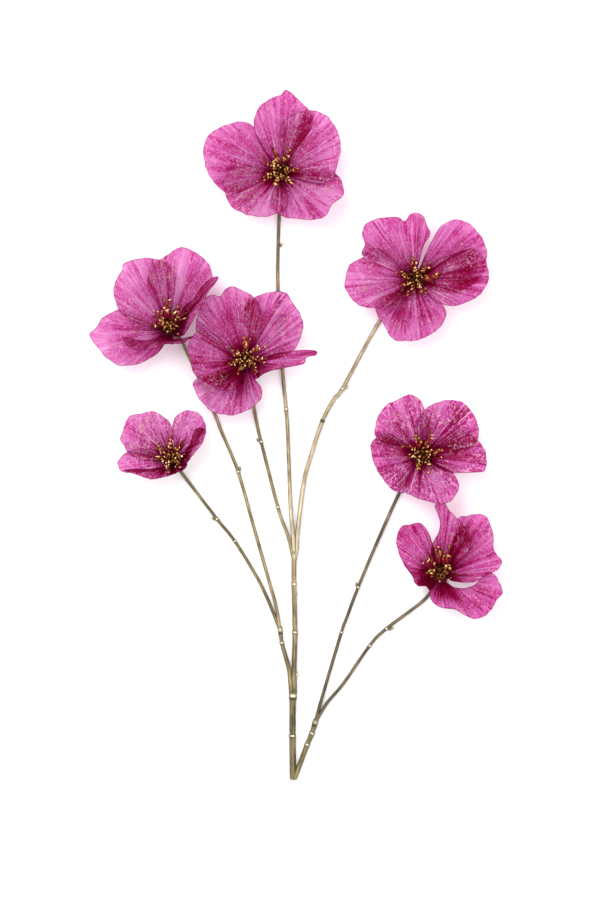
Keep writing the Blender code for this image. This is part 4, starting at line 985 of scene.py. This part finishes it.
def bead_head(name, bloom, gold):
    """The dense middle: a dome crowded with small beads from dark brown to bright gold. The dome keeps the darkest
    tone, as painted shade between the beads.
    """
    draw = random.Random("centre " + name)
    lean = Vector((*bloom["lean"], HEAD_UPRIGHT)).normalized()
    middle = hub_of(bloom, HEAD_BASE) + lean * HEAD_LIFT + Vector((*bloom["lean"], 0)) * HEAD_SHIFT
    round_head = HEAD_RADIUS * bloom["head"]
    bm = new_beads()
    bmesh.ops.create_icosphere(bm, subdivisions=3, radius=round_head)
    bmesh.ops.scale(bm, vec=(1, 1, 1.1), verts=bm.verts)
    bmesh.ops.translate(bm, vec=middle, verts=bm.verts)
    cut_flat(bm, (0, 0, HEAD_BASE), (0, 0, -1))
    bmesh.ops.recalc_face_normals(bm, faces=bm.faces)
    turn = lean.to_track_quat("Z", "Y")
    for i in range(HEAD_BEADS):
        height = 1 - HEAD_COVER * (i + 0.5) / HEAD_BEADS
        angle = i * GOLDEN_ANGLE + draw.uniform(-HEAD_SCATTER, HEAD_SCATTER)
        flat = math.sqrt(1 - height**2)
        way = turn @ Vector((flat * math.cos(angle), flat * math.sin(angle), height))
        size = draw.uniform(*BEAD_RADIUS)
        bead(bm, middle + way * (round_head + draw.uniform(*HEAD_PROUD)), way, size, draw, BEAD_LENGTH)
    finished(bm, "beads_" + name, gold, "gold_bead", "centre_" + name)


# Stems

def swelling(at, place, half_width, height):
    """A smooth swelling round one place along a stem."""
    return height * math.exp(-(((at - place) / half_width) ** 2))


def grow_stem(bm, stem, seed, neck=()):
    """A moulded twig with swollen nodes, faint rings, buds and, where another stem starts in its end, a socket."""
    path = smooth_path([*stem["line"], *neck])
    whole = lengths_along(path)[-1]
    count = max(4, round(whole / STEM_STEP))
    path = spaced(path, count + 1)
    lengths = lengths_along(path)
    swells = [lengths[nearest_on(path, node)] for node in stem["nodes"]]
    socket = stem.get("socket", 0)
    first, last = stem["radii"]
    sizes = []
    for i in range(count + 1):
        at = whole * i / count
        radius = first + (last - first) * i / count
        radius += UNEVEN * noise.noise(Vector((at * UNEVEN_RATE, seed, 0)))
        for swell in swells:
            radius += sum(swelling(at, swell + place, width, share * radius) for place, width, share in NODE_SHAPE)
        sizes.append(radius + swelling(at, whole - SOCKET_BACK, SOCKET_WIDTH, socket))
    rubs_and_highlights = [(swell, 1.0, node[2] if len(node) > 2 else 1.0) for swell, node in zip(swells, stem["nodes"])]
    rubs_and_highlights += [(swell + 1.6 * side, 0.7, -0.6) for swell in swells for side in (-1, 1)]
    if socket:  # pale at its lip and dark behind it
        rubs_and_highlights += [(whole - 3, 1.7, 1.3 * socket), (whole - 5.4, 1.2, -0.8)]
    draw_tube(bm, path, sizes, stem.get("sides", 12), rubs_and_highlights=rubs_and_highlights, tones_along=stem["tones_along"])
    for x, y, side, size in stem["buds"]:
        grow_bud(bm, path, (x, y), side, size)


def grow_bud(bm, path, spot, side, size):
    """A small pointed bud on one side of a stem, leaning along it, or on top of it where the side is 0."""
    nearest = nearest_on(path, spot)
    along = (path[nearest + 1] - path[nearest - 1]).normalized()
    out = Vector((along.y * side, -along.x * side, 0 if side else 1)).normalized()
    way = (along * (1.9 * size - 0.3) + out).normalized()
    start = path[nearest] + out * (LARGE_BUD_OUT if size > LARGE_BUD else SMALL_BUD_OUT)
    line = spaced([start, start + way * BUD_LENGTH * size], len(BUD_SHAPE))
    radii = [BUD_RADIUS * size**0.5 * share for share in BUD_SHAPE]
    draw_tube(bm, line, radii, 9, rubs_and_highlights=[(BUD_LENGTH * size, 2.5, 0.8), (0, 1.5, -0.6)])


def flower_stem(name, stem, bloom, paint):
    """A twig from its socket to the neck that turns up under the bloom."""
    hub = hub_of(bloom)
    back = ((Vector(stem["line"][-1]) - hub) * ON_TABLE).normalized()
    neck = [hub + back * share * NECK_REACH + UP * height for share, height in NECK_LINE]
    bm = new_tubes()
    grow_stem(bm, stem, len(name), neck)
    finished(tubes_done(bm), "twig_" + name, paint, "stem_paint", "stem_" + name)


def calyx(name, bloom, paint):
    """The cup under a bloom, with its ring of small sepals."""
    hub = hub_of(bloom)
    cup = finished(turned(CUP_PROFILE, hub), "cup_" + name, paint, "stem_paint", "calyx_" + name)
    cup.data.set_sharp_from_angle(angle=math.radians(50))
    bm = new_tubes()
    for i in range(SEPALS):
        way = heading(math.tau * i / SEPALS)
        line = smooth_path([hub + way * out + UP * height for out, height in SEPAL_LINE], 4)
        draw_tube(bm, line, SEPAL_WIDTHS, flat=SEPAL_FLAT, rubs_and_highlights=[(7, 2, 0.7)])
    finished(tubes_done(bm), "sepals_" + name, paint, "stem_paint", "calyx_" + name)


def main_stem(paint):
    """The lower stem to its collar, and the right-hand branch that lies against it."""
    bm = new_tubes()
    grow_stem(bm, FOOT, 0)
    grow_stem(bm, RIGHT_BRANCH, 3)
    cut_flat(bm, (0, CUT_END, 0), (0, -1, 0))
    finished(tubes_done(bm), "stem_main", paint, "stem_paint", "main_stem")


def branch(name, stem, paint):
    """A branch that is plugged into the collar."""
    bm = new_tubes()
    grow_stem(bm, stem, len(name))
    finished(tubes_done(bm), "stem_" + name, paint, "stem_paint", name)


# The view, the floor and the light

def look_down():
    lens = bpy.data.cameras.new("camera")
    lens.lens = LENS
    lens.sensor_width = SENSOR
    lens.clip_end = 20
    bpy.context.scene.camera = put("camera", lens, (VIEW_CENTRE[0] * MM, VIEW_CENTRE[1] * MM, VIEW_HEIGHT * MM))


def table_top():
    """A plain near-white table."""
    finish, tree, shader = new_finish("table white")
    white = own_place(tree).cloud(400, 2.0).shades([(0.3, (0.90, 0.90, 0.90)), (0.7, (0.92, 0.92, 0.92))])
    feed(shader, {"Base Color": white, "Roughness": 0.8})
    bm = bmesh.new()
    bmesh.ops.create_grid(bm, x_segments=1, y_segments=1, size=TABLE_REACH)
    meshed(bm, "table", finish)


def studio():
    """White surroundings, and large square lamps that face the middle of the spray."""
    world = bpy.data.worlds.new("studio")
    world.use_nodes = True
    feed(world.node_tree.nodes["Background"], {"Color": (1, 1, 1, 1), "Strength": 1.0})
    bpy.context.scene.world = world
    bpy.context.scene.view_settings.view_transform = "Standard"
    for name, place, size, power in LAMPS:
        lamp = bpy.data.lights.new(name, "AREA")
        lamp.size = size
        lamp.energy = power
        put(name, lamp, place).rotation_euler = (-Vector(place)).to_track_quat("-Z", "Y").to_euler()


def main():
    look_down()
    table_top()
    studio()
    thread = thread_red()
    # The bright top stops of both bead ramps show as painted highlights on the bead tops; the darkest seed bead stop
    # colours the dome as painted shade between the beads
    gold = bead_gold("gilded tip", [(0.1, (0.07, 0.012, 0.005)), (0.35, (0.24, 0.08, 0.018)),
                                    (0.6, (0.56, 0.29, 0.07)), (0.85, (1.0, 0.78, 0.40))])
    seed_gold = bead_gold("seed bead", [(0.12, (0.012, 0.003, 0.002)), (0.45, (0.065, 0.014, 0.004)),
                                        (0.72, (0.19, 0.052, 0.010)), (1.0, (0.74, 0.42, 0.13))])
    pale_twig = twig_paint("pale twig paint", (0.10, 0.07, 0.028), (0.30, 0.23, 0.12), (0.60, 0.51, 0.36))
    bronze_twig = twig_paint("bronze twig paint", (0.04, 0.027, 0.009), (0.16, 0.12, 0.042), (0.40, 0.32, 0.165))
    brown_twig = twig_paint("brown twig paint", (0.028, 0.019, 0.007), (0.10, 0.072, 0.027), (0.27, 0.20, 0.09))
    paints = {"top": pale_twig, "upper_right": pale_twig, "centre_branch": pale_twig, "right": brown_twig,
              "lower_right": brown_twig}
    for name, bloom in BLOOMS.items():
        sheets = petals(name, bloom)
        stamens(name, bloom, sheets, thread, gold)
        bead_head(name, bloom, seed_gold)
        paint = paints.get(name, bronze_twig)
        calyx(name, bloom, paint)
        flower_stem(name, FLOWER_STEMS[name], bloom, paint)
    main_stem(bronze_twig)
    for name, stem in BRANCHES.items():
        branch(name, stem, paints.get(name, bronze_twig))


main()
